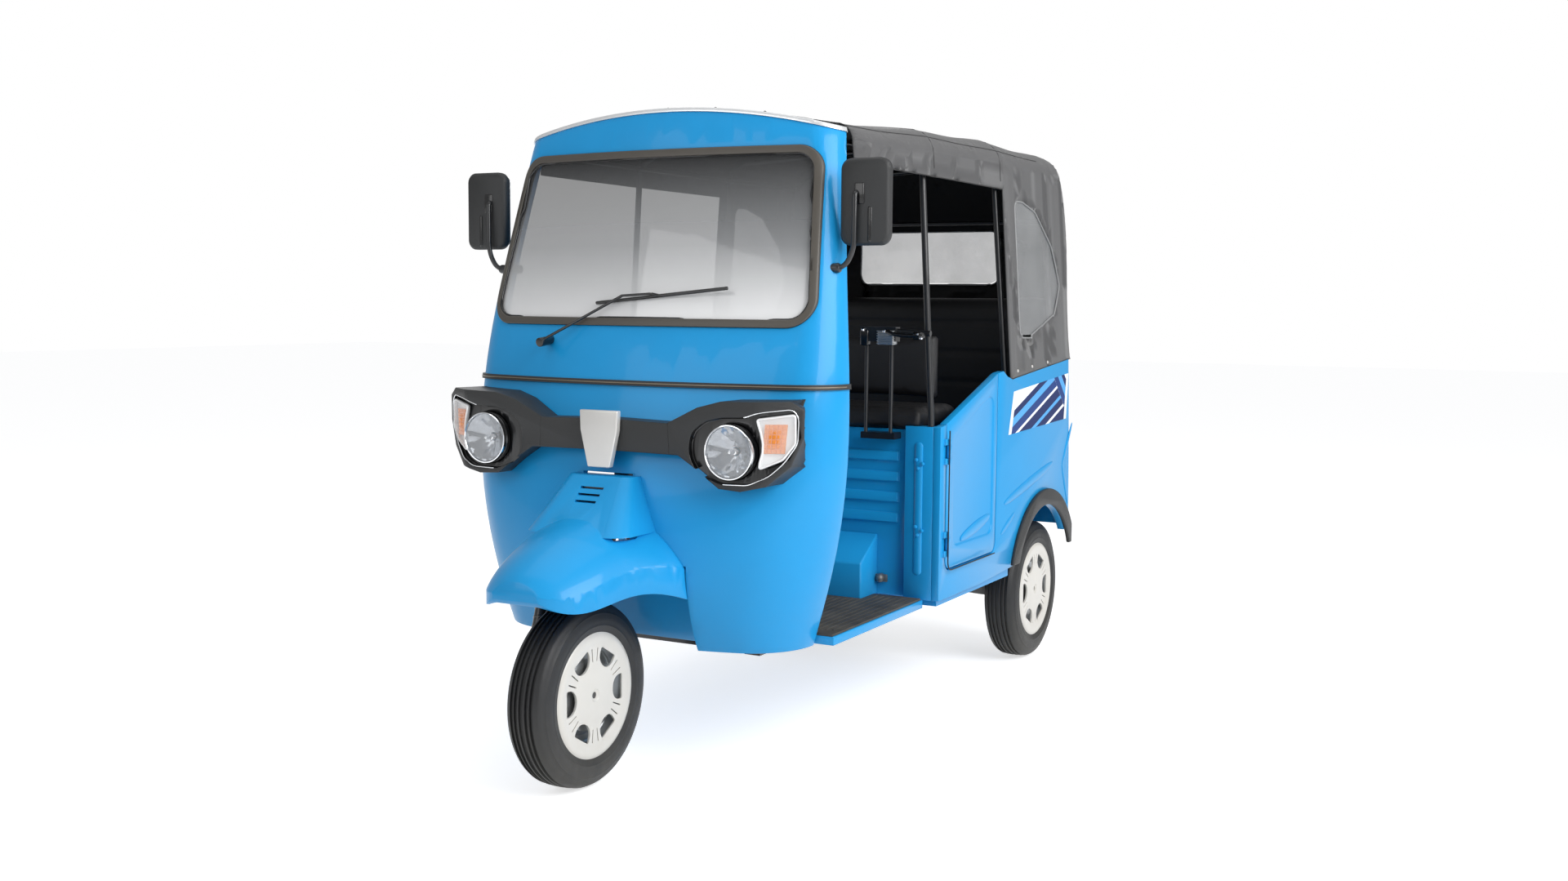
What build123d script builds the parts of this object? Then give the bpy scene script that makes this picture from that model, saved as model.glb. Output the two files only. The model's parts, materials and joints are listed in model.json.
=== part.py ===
"""Passenger auto rickshaw: a three-wheeled passenger vehicle with a steel front cowl, a low rear tub and a fabric hood.

Millimetres. X runs to the vehicle's left, Y to its rear, Z up. The ground is Z 0 and the origin is the centre of its
plan on the ground. Lengths along the vehicle in the tables are measured behind the front axle.
"""

import os
from math import cos, radians, sin, tan

from build123d import *

os.makedirs("parts", exist_ok=True)

# Whole vehicle
WHEELBASE = 2100
NOSE_REACH = 270  # from the front axle forward to the fender tip
TAIL_REACH = 300  # from the rear axle back to the foot of the tail
AXLE_Y = NOSE_REACH - (NOSE_REACH + WHEELBASE + TAIL_REACH) / 2
GAP = 0.3  # between faces that sit against each other
SWING = 6  # between a moving panel and what it closes
RUNNING = 0.08  # radial play of a shaft in its bore

# Wheels
TYRE_R = 255
TYRE_HALF = 65
BEAD_HALF = 48
RIM_R = 152
COVER_R = 174
COVER_FACE = 59  # from the wheel's middle out to the cover's face
COVER_WINDOW_AT = 131  # the straight side of a half-moon window, from the middle
COVER_WINDOW_HALF = 36
COVER_WINDOW_DEEP = 50
DRUM_R = 95
DRUM_HALF = 40
HUB_R = 34
AXLE_R = 14
TRACK_HALF = 498

# Steering
RAKE = 22
STEER_Z = 600
STEER_BACK = 124  # the steering axis lies this far behind the front axle at STEER_Z
STEER_LIMIT = 35
COLUMN_R = 18
HEAD_R = 26
HEAD_LOW = 150  # along the steering axis from STEER_Z
HEAD_HIGH = 480
BAR_UP = 520
BAR_HALF = 265
BAR_BACK = 150
BAR_R = 11
GRIP_R = 17
FORK_X = 95
FORK_R = 17
LINK_PIVOT_BACK = -92
LINK_PIVOT_Z = 322

# Cowl
WALL = 22
HEM_Z = 358  # the lower edge of the cowl
BELT_Z = 1084
ROOF_TOP = 1845
ROOF_DROP = 65  # the roof edge falls this far at ROOF_DROP_X from the middle
ROOF_DROP_X = 515
SCREEN_BOTTOM = 1240
SCREEN_TOP = 1738
SCREEN_HALF_LOW = 545
SCREEN_HALF_HIGH = 500
SCREEN_CORNER = 75
GASKET = 22
GLASS = 5
ARCH_HALF = 250
ARCH_TOP = 600
WELL_WALL = 12

FENDER_WALL = 10
LOUVRE_LOW = 768  # the lowest of three slots in the nose above the fender
LOUVRE_PITCH = 17
LOUVRE_HALF = 34
LOUVRE_HEIGHT = 6

# Front lamps
LAMP_X = 402
LAMP_Z = 919
LAMP_R = 73
MASK_FACE = 112
MASK_END = 590

# Floor and tub
FLOOR_TOP = 385
FLOOR_WALL = 25
FLOOR_HALF = 548
FLOOR_FRONT = 345
MAT = 7
MAT_EDGE = 4  # the mat stays this far from what stands beside it
FLOOR_BOX_HALF = 380
FLOOR_BOX_FRONT = 960
TUB_HALF = 600
TUB_WALL = 25
TUB_CORNER = 80
POST_FRONT = 1060
POST_WIDTH = 120
POST_DEPTH = 44
DECK_TOP = 915
SEAT_BOX_FRONT = 1085
SEAT_BOX_BACK = 1365
BENCH_FRONT = 1745
BENCH_TOP = 700
HOUSE_HALF = 395  # inner faces of the rear wheel houses
HOUSE_TOP = 640
HOUSE_BACK = 2300
DOOR_FRONT = 1110
DOOR_BACK = 1545
DOOR_BOTTOM = 478
DOOR_CORNER = 36
FIELD_DEPTH = 5  # how far the door's embossed field is pressed in
DOOR_LIMIT = 75
DOOR_HINGES = (560, 850)
ARCH_BACK = 2035
ARCH_Z = 280
ARCH_R = 300
FLARE_R = 358
FLARE_OUT = 14
LID_HALF = 330
LID_BOTTOM = 500
LID_TOP = 800
LID_LIMIT = 65

# Hood
HOOD_WALL = 8
VALANCE_Z = 1695
QUARTER_FRONT = 1665
BOW_R = 10
WINDOW_HALF = 297
WINDOW_BOTTOM = 1386
WINDOW_TOP = 1586


def behind(distance):
    """Y of a place that far behind the front axle."""
    return AXLE_Y + distance


def write(name, *solids):
    """Write a node made of solids that share one body."""
    part = solids[0] if len(solids) == 1 else Part() + list(solids)
    part.label = name
    export_step(part, f"parts/{name}.step")


def side_prism(points, low_x, high_x, radius=0):
    """A side-view outline of (distance behind the front axle, height) run across the vehicle."""
    with BuildPart() as prism:
        with BuildSketch(Plane.YZ.offset(low_x)):
            with BuildLine():
                Polyline([(behind(back), height) for back, height in points], close=True)
            make_face()
            if radius:
                fillet(vertices(), radius)
        extrude(amount=high_x - low_x)
    return prism.part


def box(low_x, high_x, low_back, high_back, low_z, high_z):
    """A plain block between two corners, lengths measured behind the front axle."""
    return Pos(low_x, behind(low_back), low_z) * Box(
        high_x - low_x, high_back - low_back, high_z - low_z, align=(Align.MIN, Align.MIN, Align.MIN)
    )


def bar(points, radius, bend=0):
    """A round bar through (x, distance behind the front axle, height) points, with one bend radius."""
    places = [(x, behind(back), height) for x, back, height in points]
    with BuildPart() as rod:
        with BuildLine() as path:
            if bend and len(places) > 2:
                FilletPolyline(*places, radius=bend)
            else:
                Polyline(*places)
        with BuildSketch(Plane(origin=path.line @ 0, z_dir=path.line % 0)):
            Circle(radius)
        sweep()
    return rod.part


def mirrored(part):
    """The same piece on the vehicle's other side."""
    return mirror(part, about=Plane.YZ)


# height, front face, half width, how far the front face bows, corner radius, rear edge
COWL_SECTIONS = [
    (HEM_Z, 180, 492, 105, 190, 428),
    (660, 115, 572, 145, 240, 417),
    (BELT_Z, 208, 602, 92, 142, 412),
    (1300, 272, 583, 74, 105, 435),
    (1600, 357, 546, 62, 90, 495),
    (1880, 437, 506, 52, 80, 558),
]


def cowl_form(inset, rear_extra=0):
    """The cowl's solid outer form, every face but the rear and the ends moved in by inset."""
    with BuildPart() as form:
        for height, front, half, bow, radius, rear in COWL_SECTIONS:
            side = half - inset
            face = behind(front) + inset
            back = behind(rear) + rear_extra
            with BuildSketch(Plane.XY.offset(height)):
                with BuildLine():
                    ThreePointArc((-side, face + bow), (0, face), (side, face + bow))
                    Polyline((side, face + bow), (side, back), (-side, back), (-side, face + bow))
                make_face()
                fillet(vertices().group_by(Axis.Y)[0], radius - inset)
        loft()
    return form.part


def roof_arch(lower):
    """Everything under the roof's crowned edge, lowered by a distance."""
    reach = TUB_HALF + 100
    side_z = ROOF_TOP - ROOF_DROP * (reach / ROOF_DROP_X) ** 2
    with BuildPart() as arch:
        with BuildSketch(Plane.XZ.offset(-behind(-400))):
            with BuildLine():
                ThreePointArc((-reach, side_z - lower), (0, ROOF_TOP - lower), (reach, side_z - lower))
                Polyline((reach, side_z - lower), (reach, 0), (-reach, 0), (-reach, side_z - lower))
            make_face()
        extrude(amount=-3400)
    return arch.part


def screen_prism(grow):
    """The windscreen's outline seen from the front, grown by a distance and run along the vehicle."""
    with BuildPart() as prism:
        with BuildSketch(Plane.XZ.offset(-behind(-300))):
            with BuildLine():
                Polyline(
                    (-SCREEN_HALF_LOW - grow, SCREEN_BOTTOM - grow),
                    (SCREEN_HALF_LOW + grow, SCREEN_BOTTOM - grow),
                    (SCREEN_HALF_HIGH + grow, SCREEN_TOP + grow),
                    (-SCREEN_HALF_HIGH - grow, SCREEN_TOP + grow),
                    close=True,
                )
            make_face()
            fillet(vertices(), SCREEN_CORNER + grow)
        extrude(amount=-950)
    return prism.part


COWL_SOLID = cowl_form(0)
COWL_SKIN = cowl_form(-GAP) & roof_arch(-GAP)
COWL_INSIDE = cowl_form(WALL, 80) & roof_arch(WALL)

# Front cowl, open at the back and below, cut for the windscreen, the wheel and the steering column
cowl = (COWL_SOLID & roof_arch(0)) - COWL_INSIDE - screen_prism(0)
cowl -= box(-ARCH_HALF, ARCH_HALF, 0, 300, 200, ARCH_TOP)
cowl -= box(-85, 85, 0, 260, ARCH_TOP - 5, 840)
write("front_cowl", cowl)

# Wheel well behind the front wheel, closing the cowl below
WELL_POINTS = [(230, 596), (275, 462), (FLOOR_FRONT - 4, 330)]


def well_block(inset, drop):
    """The wheel well's solid, its back moved forward and its top and sides moved in by inset, its foot lowered."""
    half = ARCH_HALF - GAP - inset
    places = [(behind(back - inset), height - inset) for back, height in WELL_POINTS]
    with BuildPart() as block:
        with BuildSketch(Plane.YZ.offset(-half)):
            with BuildLine():
                ThreePointArc(*places)
                foot = places[2][1] - drop - 5
                Polyline(places[2], (places[2][0], foot), (behind(60), foot), (behind(60), places[0][1]), places[0])
            make_face()
        extrude(amount=2 * half)
    return block.part


well = (well_block(0, 0) - well_block(WELL_WALL, 40)) & (COWL_INSIDE - box(-85, 85, 0, 232, 560, 700))
write("wheel_well", well)

# Front fender and nose
# distance behind the axle, half width, lip height, crown height
FENDER_SECTIONS = [
    (-NOSE_REACH, 70, 552, 598),
    (-225, 128, 523, 640),
    (-130, 165, 524, 690),
    (-20, 190, 540, 726),
    (80, 225, 532, 742),
    (180, 255, 500, 742),
]
# height, half width, front, corner radius
NOSE_SECTIONS = [
    (690, 165, -40, 60),
    (836, 104, 92, 30),
]


def fender_form(inset):
    """The fender's solid outer form with its nose, the outer faces moved in by inset and the underside down."""
    with BuildPart() as arch:
        for back, half, lip, crown in FENDER_SECTIONS:
            with BuildSketch(Plane.XZ.offset(-behind(back) - (inset if back == -NOSE_REACH else 0))):
                side = half - inset
                shoulder = lip + 0.35 * (crown - lip)
                low = lip - inset
                with BuildLine():
                    ThreePointArc((-side, shoulder), (0, crown - inset), (side, shoulder))
                    Polyline((side, shoulder), (side, low), (-side, low), (-side, shoulder))
                make_face()
        loft()
    with BuildPart() as nose:
        for height, half, front, radius in NOSE_SECTIONS:
            with BuildSketch(Plane.XY.offset(height - inset)):
                with BuildLine():
                    side = half - inset
                    Polyline(
                        (-side, behind(front) + inset),
                        (side, behind(front) + inset),
                        (side, behind(240)),
                        (-side, behind(240)),
                        close=True,
                    )
                make_face()
                fillet(vertices().group_by(Axis.Y)[0], radius - inset / 2)
        loft()
    return arch.part + nose.part


fender = fender_form(0) - fender_form(FENDER_WALL) - COWL_SKIN - box(-90, 90, 90, 400, 560, 700)
for louvre in range(3):
    low = LOUVRE_LOW + louvre * LOUVRE_PITCH
    half = LOUVRE_HALF + 2 * louvre
    fender -= box(-half, half, -20, 120, low, low + LOUVRE_HEIGHT)
write("front_fender", fender)

# Windscreen
gasket = (cowl_form(-6) - cowl_form(WALL - 4, 80)) & (screen_prism(-GAP) - screen_prism(-GASKET))
glass = (cowl_form(5) - cowl_form(5 + GLASS, 80)) & screen_prism(-GASKET - GAP)
write("windscreen_gasket", gasket)
write("windscreen_glass", glass)

# Lamp mask across the front, with its bored housings
MASK_HALF_OUTLINE = [
    (0, 992), (205, 986), (300, 1032), (370, 1050), (556, 1054), (586, 1032), (584, 960),
    (556, 885), (500, 832), (430, 816), (365, 820), (300, 866), (240, 902), (0, 905),
]
INDICATOR_OUTLINE = [(482, 968), (500, 1006), (570, 1018), (578, 962), (552, 902), (490, 876)]


def front_prism(points, low_back, high_back, radius=0):
    """A front-view outline of (x, height) run back along the vehicle."""
    with BuildPart() as prism:
        with BuildSketch(Plane.XZ.offset(-behind(low_back))):
            with BuildLine():
                Polyline(points, close=True)
            make_face()
            if radius:
                fillet(vertices(), radius)
        extrude(amount=low_back - high_back)
    return prism.part


def mask_plan(inset):
    """The mask's front surface seen from above, run up through the mask."""
    with BuildPart() as plan:
        with BuildSketch(Plane.XY.offset(780)):
            with BuildLine():
                Polyline(
                    (0, behind(MASK_FACE + inset)),
                    (480, behind(MASK_FACE + 8 + inset)),
                    (MASK_END - inset, behind(185 + inset)),
                    (MASK_END - inset, behind(330)),
                    (-MASK_END + inset, behind(330)),
                    (-MASK_END + inset, behind(185 + inset)),
                    (-480, behind(MASK_FACE + 8 + inset)),
                    close=True,
                )
            make_face()
            fillet(vertices().sort_by(Axis.Y)[:3], 60)
        extrude(amount=310)
    return plan.part


mask_half = front_prism(MASK_HALF_OUTLINE, 60, 330)
indicator_pocket = front_prism(INDICATOR_OUTLINE, 60, 330, 8)
with BuildPart() as lamp_bore:
    with BuildSketch(Plane.XZ.offset(-behind(60))):
        with Locations((LAMP_X, LAMP_Z), (-LAMP_X, LAMP_Z)):
            Circle(LAMP_R + GAP)
    extrude(amount=-260)
with BuildPart() as lamps:
    with BuildSketch(Plane.XZ.offset(-behind(MASK_FACE - 4))):
        with Locations((LAMP_X, LAMP_Z), (-LAMP_X, LAMP_Z)):
            Circle(LAMP_R)
    extrude(amount=-140)
    chamfer(faces().sort_by(Axis.Y)[:2].edges(), 6)
badge_points = [(-62, 1014), (62, 1014), (60, 960), (36, 858), (-36, 858), (-60, 960)]
badge_prism = front_prism(badge_points, MASK_FACE - 18, 330)
indicator = indicator_pocket & (mask_plan(-2) - mask_plan(24))
mask = ((mask_half + mirrored(mask_half)) & mask_plan(0)) - COWL_SKIN - lamp_bore.part
mask_recess = front_prism([(x, z) for x, z in INDICATOR_OUTLINE], 60, 330, 8) - mask_plan(24 + GAP)
mask = mask - mask_recess - mirrored(mask_recess)
mask -= front_prism([(x * 1.01, z) for x, z in badge_points], 60, MASK_FACE + 2 + GAP)
lamp_cans = lamps.part - COWL_SKIN
indicator = indicator - (lamp_bore.part + COWL_SKIN)
write("lamp_mask", mask)
write("headlamps", lamp_cans)
write("indicators", indicator, mirrored(indicator))
badge = front_prism(badge_points, MASK_FACE - 18, MASK_FACE + 2)
write("badge_plate", badge)

# Belt moulding and the trim along the roof's front edge
moulding = (cowl_form(-7) - cowl_form(-GAP)) & box(-700, 700, 0, 408, BELT_Z - 7, BELT_Z + 7)
write("belt_moulding", moulding)
trim = (cowl_form(-4) - cowl_form(30, 80)) & (roof_arch(-12) - roof_arch(-GAP))
trim &= box(-700, 700, 300, 535, 1500, 1900)
write("roof_trim", trim)

# Windscreen wiper: pivot boss, arm and blade
wiper = bar([(-280, 300, 1200), (-280, 204, 1190)], 13)
wiper += bar([(-280, 208, 1193), (-160, 250, 1262), (-35, 262, 1324), (60, 265, 1330)], 4)
wiper += bar([(-130, 272, 1303), (295, 282, 1346)], 5)
wiper += bar([(60, 265, 1330), (80, 274, 1325)], 4)
write("wiper", wiper - COWL_SKIN)

# Mirrors
arm = bar([(520, 380, 1400), (650, 380, 1404), (668, 390, 1470), (668, 406, 1570)], 6, 18)
arm += bar([(520, 380, 1400), (598, 380, 1400)], 14)
with BuildPart() as head:
    with BuildSketch(Plane.XZ.offset(-behind(410))):
        with Locations((639, 1578)):
            RectangleRounded(144, 232, 30)
    extrude(amount=-34)
    chamfer(faces().sort_by(Axis.Y)[0].edges(), 8)
mirror_arm = arm - COWL_SKIN - head.part
mirror_arm -= screen_prism(0)
write("mirror_arms", mirror_arm, mirrored(mirror_arm))
write("mirror_heads", head.part, mirrored(head.part))

# Driver's floor, its mat and the box on it
floor = box(-FLOOR_HALF, FLOOR_HALF, 100, 440, FLOOR_TOP - FLOOR_WALL, FLOOR_TOP) & cowl_form(WALL + GAP, 80)
floor -= well_block(-GAP, 0)
floor += box(-FLOOR_HALF, FLOOR_HALF, 440, SEAT_BOX_FRONT - 10 - GAP, FLOOR_TOP - FLOOR_WALL, FLOOR_TOP)
floor -= box(-700, 700, POST_FRONT - GAP, 1100, 300, 500)
write("floor_pan", floor)
mat = box(-FLOOR_HALF + MAT_EDGE, FLOOR_HALF - MAT_EDGE, 440, 1050, FLOOR_TOP + GAP, FLOOR_TOP + MAT)
mat -= box(-FLOOR_BOX_HALF - MAT_EDGE, FLOOR_BOX_HALF + MAT_EDGE, FLOOR_BOX_FRONT - MAT_EDGE, 1100, FLOOR_TOP, 400)
write("floor_mat", mat)
floor_box_foot = FLOOR_TOP + GAP
floor_box_back = SEAT_BOX_FRONT - GAP
floor_box = side_prism(
    [(FLOOR_BOX_FRONT, floor_box_foot), (floor_box_back, floor_box_foot), (floor_box_back, 580), (FLOOR_BOX_FRONT, 500)],
    -FLOOR_BOX_HALF, FLOOR_BOX_HALF)
write("floor_box", floor_box)


# Rear tub: height, rear face, half width
TUB_SECTIONS = [(384, WHEELBASE + TAIL_REACH, TUB_HALF), (750, 2382, TUB_HALF), (1120, 2352, TUB_HALF)]


def tub_form(inset):
    """The tub's solid outer form with rounded rear corners."""
    with BuildPart() as form:
        for height, rear, half in TUB_SECTIONS:
            with BuildSketch(Plane.XY.offset(height)):
                side = half - inset
                with BuildLine():
                    Polyline(
                        (-side, behind(POST_FRONT)), (side, behind(POST_FRONT)),
                        (side, behind(rear) - inset), (-side, behind(rear) - inset), close=True,
                    )
                make_face()
                fillet(vertices().group_by(Axis.Y)[-1], TUB_CORNER - inset)
        loft()
    return form.part


TUB_SHELL = tub_form(0) - tub_form(TUB_WALL)
POST_TOP = 928
TOP_LINE = [(POST_FRONT, POST_TOP), (1104, 934), (1381, 1023), (DOOR_BACK, 1076), (1600, 1082), (1640, 1062),
            (1690, 1052), (2420, 1112)]
SIDE_OUTLINE = TOP_LINE + [(2420, 470), (2262, 456), (2200, 452), (1850, 404), (1410, 385), (POST_FRONT, 385)]
side_window = side_prism(SIDE_OUTLINE, 300, 700)
with BuildPart() as arch_cut:
    with BuildSketch(Plane.YZ.offset(300)):
        with Locations((behind(ARCH_BACK), ARCH_Z)):
            Circle(ARCH_R)
    extrude(amount=400)
door_opening = side_prism(
    [(DOOR_FRONT - SWING, DOOR_BOTTOM - SWING), (DOOR_BACK + SWING, DOOR_BOTTOM - SWING), (DOOR_BACK + SWING, 1300),
     (DOOR_FRONT - SWING, 1300)], 300, 700, DOOR_CORNER + SWING)
HINGE_OUT = 8  # hinge axes stand this far outside the panel they carry
KNUCKLE_R = 7
PIN_R = 4
KNUCKLE = 40
HINGE_GAP = 0.5


def door_hinge(middle_z):
    """The fixed knuckles with their pin, and the door's knuckle between them, at one height on the left side."""
    x = TUB_HALF + HINGE_OUT
    back = DOOR_FRONT - SWING / 2
    with BuildPart() as moving:
        with BuildSketch(Plane.XY.offset(middle_z - KNUCKLE / 2)):
            with Locations((x, behind(back))):
                Circle(KNUCKLE_R)
        extrude(amount=KNUCKLE)
    leaf = box(TUB_HALF, x, back, back + 28, middle_z - KNUCKLE / 2, middle_z + KNUCKLE / 2)
    with BuildPart() as bore:
        with BuildSketch(Plane.XY.offset(middle_z - KNUCKLE)):
            with Locations((x, behind(back))):
                Circle(PIN_R + RUNNING)
        extrude(amount=2 * KNUCKLE)
    with BuildPart() as fixed:
        for low in (middle_z - KNUCKLE, middle_z + KNUCKLE / 2 + HINGE_GAP):
            with BuildSketch(Plane.XY.offset(low)):
                with Locations((x, behind(back))):
                    Circle(KNUCKLE_R)
            extrude(amount=KNUCKLE / 2 - HINGE_GAP)
        with BuildSketch(Plane.XY.offset(middle_z - KNUCKLE)):
            with Locations((x, behind(back))):
                Circle(PIN_R)
        extrude(amount=2 * KNUCKLE)
    fixed_leaf = None
    for low in (middle_z - KNUCKLE, middle_z + KNUCKLE / 2 + HINGE_GAP):
        plate = box(TUB_HALF, x, back - 24, back, low, low + KNUCKLE / 2 - HINGE_GAP)
        fixed_leaf = plate if fixed_leaf is None else fixed_leaf + plate
    return fixed.part + fixed_leaf, (moving.part + leaf) - bore.part


hinges = [door_hinge(height) for height in DOOR_HINGES]
tail_start = 2300
side = (TUB_SHELL & side_window & box(300, 700, POST_FRONT, tail_start - GAP, 300, 1200)) - arch_cut.part - door_opening
post = box(TUB_HALF - POST_WIDTH, TUB_HALF - GAP - TUB_WALL, POST_FRONT, POST_FRONT + POST_DEPTH, 385, POST_TOP)
side += post
for fixed, moving in hinges:
    side += fixed
side_panel = side
write("side_panel_left", side_panel)
write("side_panel_right", mirrored(side_panel))

# Half doors, hinged at their front edges
DOOR_OUTLINE = [(DOOR_FRONT, DOOR_BOTTOM), (DOOR_BACK, DOOR_BOTTOM), (DOOR_BACK, 1076), (1381, 1023), (DOOR_FRONT, 936)]
DOOR_FIELD = [(1172, 545), (1512, 545), (1512, 1014), (1381, 972), (1172, 892)]
with BuildPart() as door:
    with BuildSketch(Plane.YZ.offset(TUB_HALF - TUB_WALL)):
        with BuildLine():
            Polyline([(behind(back), height) for back, height in DOOR_OUTLINE], close=True)
        make_face()
        fillet(vertices().group_by(Axis.Y)[0], DOOR_CORNER)
    extrude(amount=TUB_WALL)
    with BuildSketch(Plane.YZ.offset(TUB_HALF - FIELD_DEPTH)):
        with BuildLine():
            Polyline([(behind(back), height) for back, height in DOOR_FIELD], close=True)
        make_face()
        fillet(vertices(), DOOR_CORNER)
    extrude(amount=2 * FIELD_DEPTH, taper=-30, mode=Mode.SUBTRACT)
door_solid = door.part
for fixed, moving in hinges:
    door_solid += moving
write("side_door_left", door_solid)
write("side_door_right", mirrored(door_solid))

# Tail panel with its lid opening
tail = TUB_SHELL & side_prism(SIDE_OUTLINE, -700, 700) & box(-700, 700, tail_start, 2420, 456, 1112)
tail -= box(-LID_HALF - SWING, LID_HALF + SWING, 2200, 2450, LID_BOTTOM - SWING, LID_TOP + SWING)
lid = TUB_SHELL & box(-LID_HALF, LID_HALF, 2300, 2450, LID_BOTTOM, LID_TOP)
LID_HINGE_BACK = 2388
LID_HINGE_Z = LID_TOP + SWING / 2
for x in (-200, 200):
    with BuildPart() as moving:
        with BuildSketch(Plane.YZ.offset(x - KNUCKLE / 2)):
            with Locations((behind(LID_HINGE_BACK), LID_HINGE_Z)):
                Circle(KNUCKLE_R)
                Circle(PIN_R + RUNNING, mode=Mode.SUBTRACT)
        extrude(amount=KNUCKLE)
    leaf = box(x - KNUCKLE / 2, x + KNUCKLE / 2, 2370, LID_HINGE_BACK + KNUCKLE_R, LID_HINGE_Z - 26, LID_HINGE_Z - 5.5)
    with BuildPart() as fixed:
        for low in (x - KNUCKLE, x + KNUCKLE / 2 + HINGE_GAP):
            with BuildSketch(Plane.YZ.offset(low)):
                with Locations((behind(LID_HINGE_BACK), LID_HINGE_Z)):
                    Circle(KNUCKLE_R)
            extrude(amount=KNUCKLE / 2 - HINGE_GAP)
        with BuildSketch(Plane.YZ.offset(x - KNUCKLE)):
            with Locations((behind(LID_HINGE_BACK), LID_HINGE_Z)):
                Circle(PIN_R)
        extrude(amount=2 * KNUCKLE)
    tail += fixed.part
    for low in (x - KNUCKLE, x + KNUCKLE / 2 + HINGE_GAP):
        tail += box(low, low + KNUCKLE / 2 - HINGE_GAP, 2370, LID_HINGE_BACK + KNUCKLE_R, LID_HINGE_Z + 5,
                    LID_HINGE_Z + 26)
    lid += moving.part + leaf
write("tail_panel", tail)
write("engine_lid", lid)
lamp = box(452, 552, 2340, 2420, 850, 1010) & (tub_form(-14) - tub_form(-GAP))
write("tail_lamps", lamp, mirrored(lamp))
plate = box(-170, 170, 2340, 2420, 850, 960) & (tub_form(-4) - tub_form(-GAP))
write("number_plate", plate)

# Arch flares
with BuildPart() as flare:
    with BuildSketch(Plane.YZ.offset(TUB_HALF + GAP)):
        with Locations((behind(ARCH_BACK), ARCH_Z)):
            Circle(FLARE_R)
            Circle(ARCH_R, mode=Mode.SUBTRACT)
    extrude(amount=FLARE_OUT)
flare_piece = flare.part & box(500, 700, 1600, 2335, 404, 700)
write("arch_flares", flare_piece, mirrored(flare_piece))

# Driver's seat box with horizontal ribs, and the passenger floor and bench behind it
inner = TUB_HALF - POST_WIDTH - GAP
seat_box = box(-inner, inner, SEAT_BOX_FRONT, SEAT_BOX_BACK, FLOOR_TOP + GAP, DECK_TOP)
seat_box -= box(-inner + 20, inner - 20, SEAT_BOX_FRONT + 20, SEAT_BOX_BACK - 20, FLOOR_TOP - 10, DECK_TOP - 20)
for rib in range(4):
    low = 620 + 65 * rib
    seat_box += box(-inner + 30, inner - 30, SEAT_BOX_FRONT - 10, SEAT_BOX_FRONT, low, low + 30)
write("seat_box", seat_box)

cabin = TUB_HALF - TUB_WALL - GAP
rear_floor = box(-cabin, cabin, SEAT_BOX_FRONT, BENCH_FRONT, FLOOR_TOP - FLOOR_WALL, FLOOR_TOP)
rear_floor -= box(-700, 700, 1000, POST_FRONT + POST_DEPTH + GAP, 300, 500)
write("rear_floor", rear_floor)
house = box(HOUSE_HALF, HOUSE_HALF + 15, BENCH_FRONT, HOUSE_BACK, FLOOR_TOP + GAP, HOUSE_TOP)
house += box(HOUSE_HALF, cabin, BENCH_FRONT, HOUSE_BACK, HOUSE_TOP, HOUSE_TOP + 15)
house += box(HOUSE_HALF, cabin, BENCH_FRONT - 15, BENCH_FRONT, FLOOR_TOP + GAP, HOUSE_TOP + 15)
bench = house + mirrored(house)
bench += box(-HOUSE_HALF, HOUSE_HALF, BENCH_FRONT - 15, BENCH_FRONT, FLOOR_TOP + GAP, HOUSE_TOP + 15)
bench += box(-HOUSE_HALF, HOUSE_HALF, BENCH_FRONT - 15, 2290, HOUSE_TOP, HOUSE_TOP + 15)
write("passenger_bench", bench)

# Seats
SEAT_STEP = 14  # the seat is as wide as the posts above this height over the seat box
driver_seat = box(-545, 545, 1045, SEAT_BOX_BACK + 10, DECK_TOP + SEAT_STEP, 985)
driver_seat += box(-inner, inner, SEAT_BOX_FRONT, SEAT_BOX_BACK, DECK_TOP + GAP, DECK_TOP + SEAT_STEP)
write("driver_seat", driver_seat)
write("driver_backrest", box(-480, 480, SEAT_BOX_BACK - 45, SEAT_BOX_BACK + 10, 985 + GAP, 1215))
write("passenger_seat", box(-540, 540, BENCH_FRONT - 20, 2240, HOUSE_TOP + 15 + GAP, 780))
back_rest = side_prism([(2180, 780 + GAP), (2285, 780 + GAP), (2325, 1350), (2250, 1350)], -540, 540)
write("passenger_backrest", back_rest)

# Driver's stay rods: a bracket on the seat box, two upright rods, a ribbed clamp and its lever
stay = box(340, 455, 1030, SEAT_BOX_FRONT - GAP, 886, 906)
for x in (355, 440):
    stay += bar([(x, 1037, 900), (x, 1037, 1205)], 6)
stay += box(338, 460, 1020, 1054, 1190, 1235)
stay += bar([(450, 1037, 1222), (570, 1037, 1216)], 9)
write("stay_rods", stay)

# Hood: distance behind the axle, half width at the shoulder, shoulder height, crown height, shoulder radius
HOOD_LOW = 1040
HOOD_LOW_HALF = 600
HOOD_SECTIONS = [
    (405, 520, 1788, 1850, 40),
    (930, 541, 1822, 1864, 75),
    (1450, 545, 1848, 1880, 85),
    (2450, 545, 1842, 1872, 85),
]
# height, rear face, half width, corner radius
HOOD_REAR = [
    (HOOD_LOW, 2366, 601, 80),
    (1530, 2350, 580, 90),
    (1740, 2312, 580, 90),
    (1920, 2150, 580, 90),
]


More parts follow.
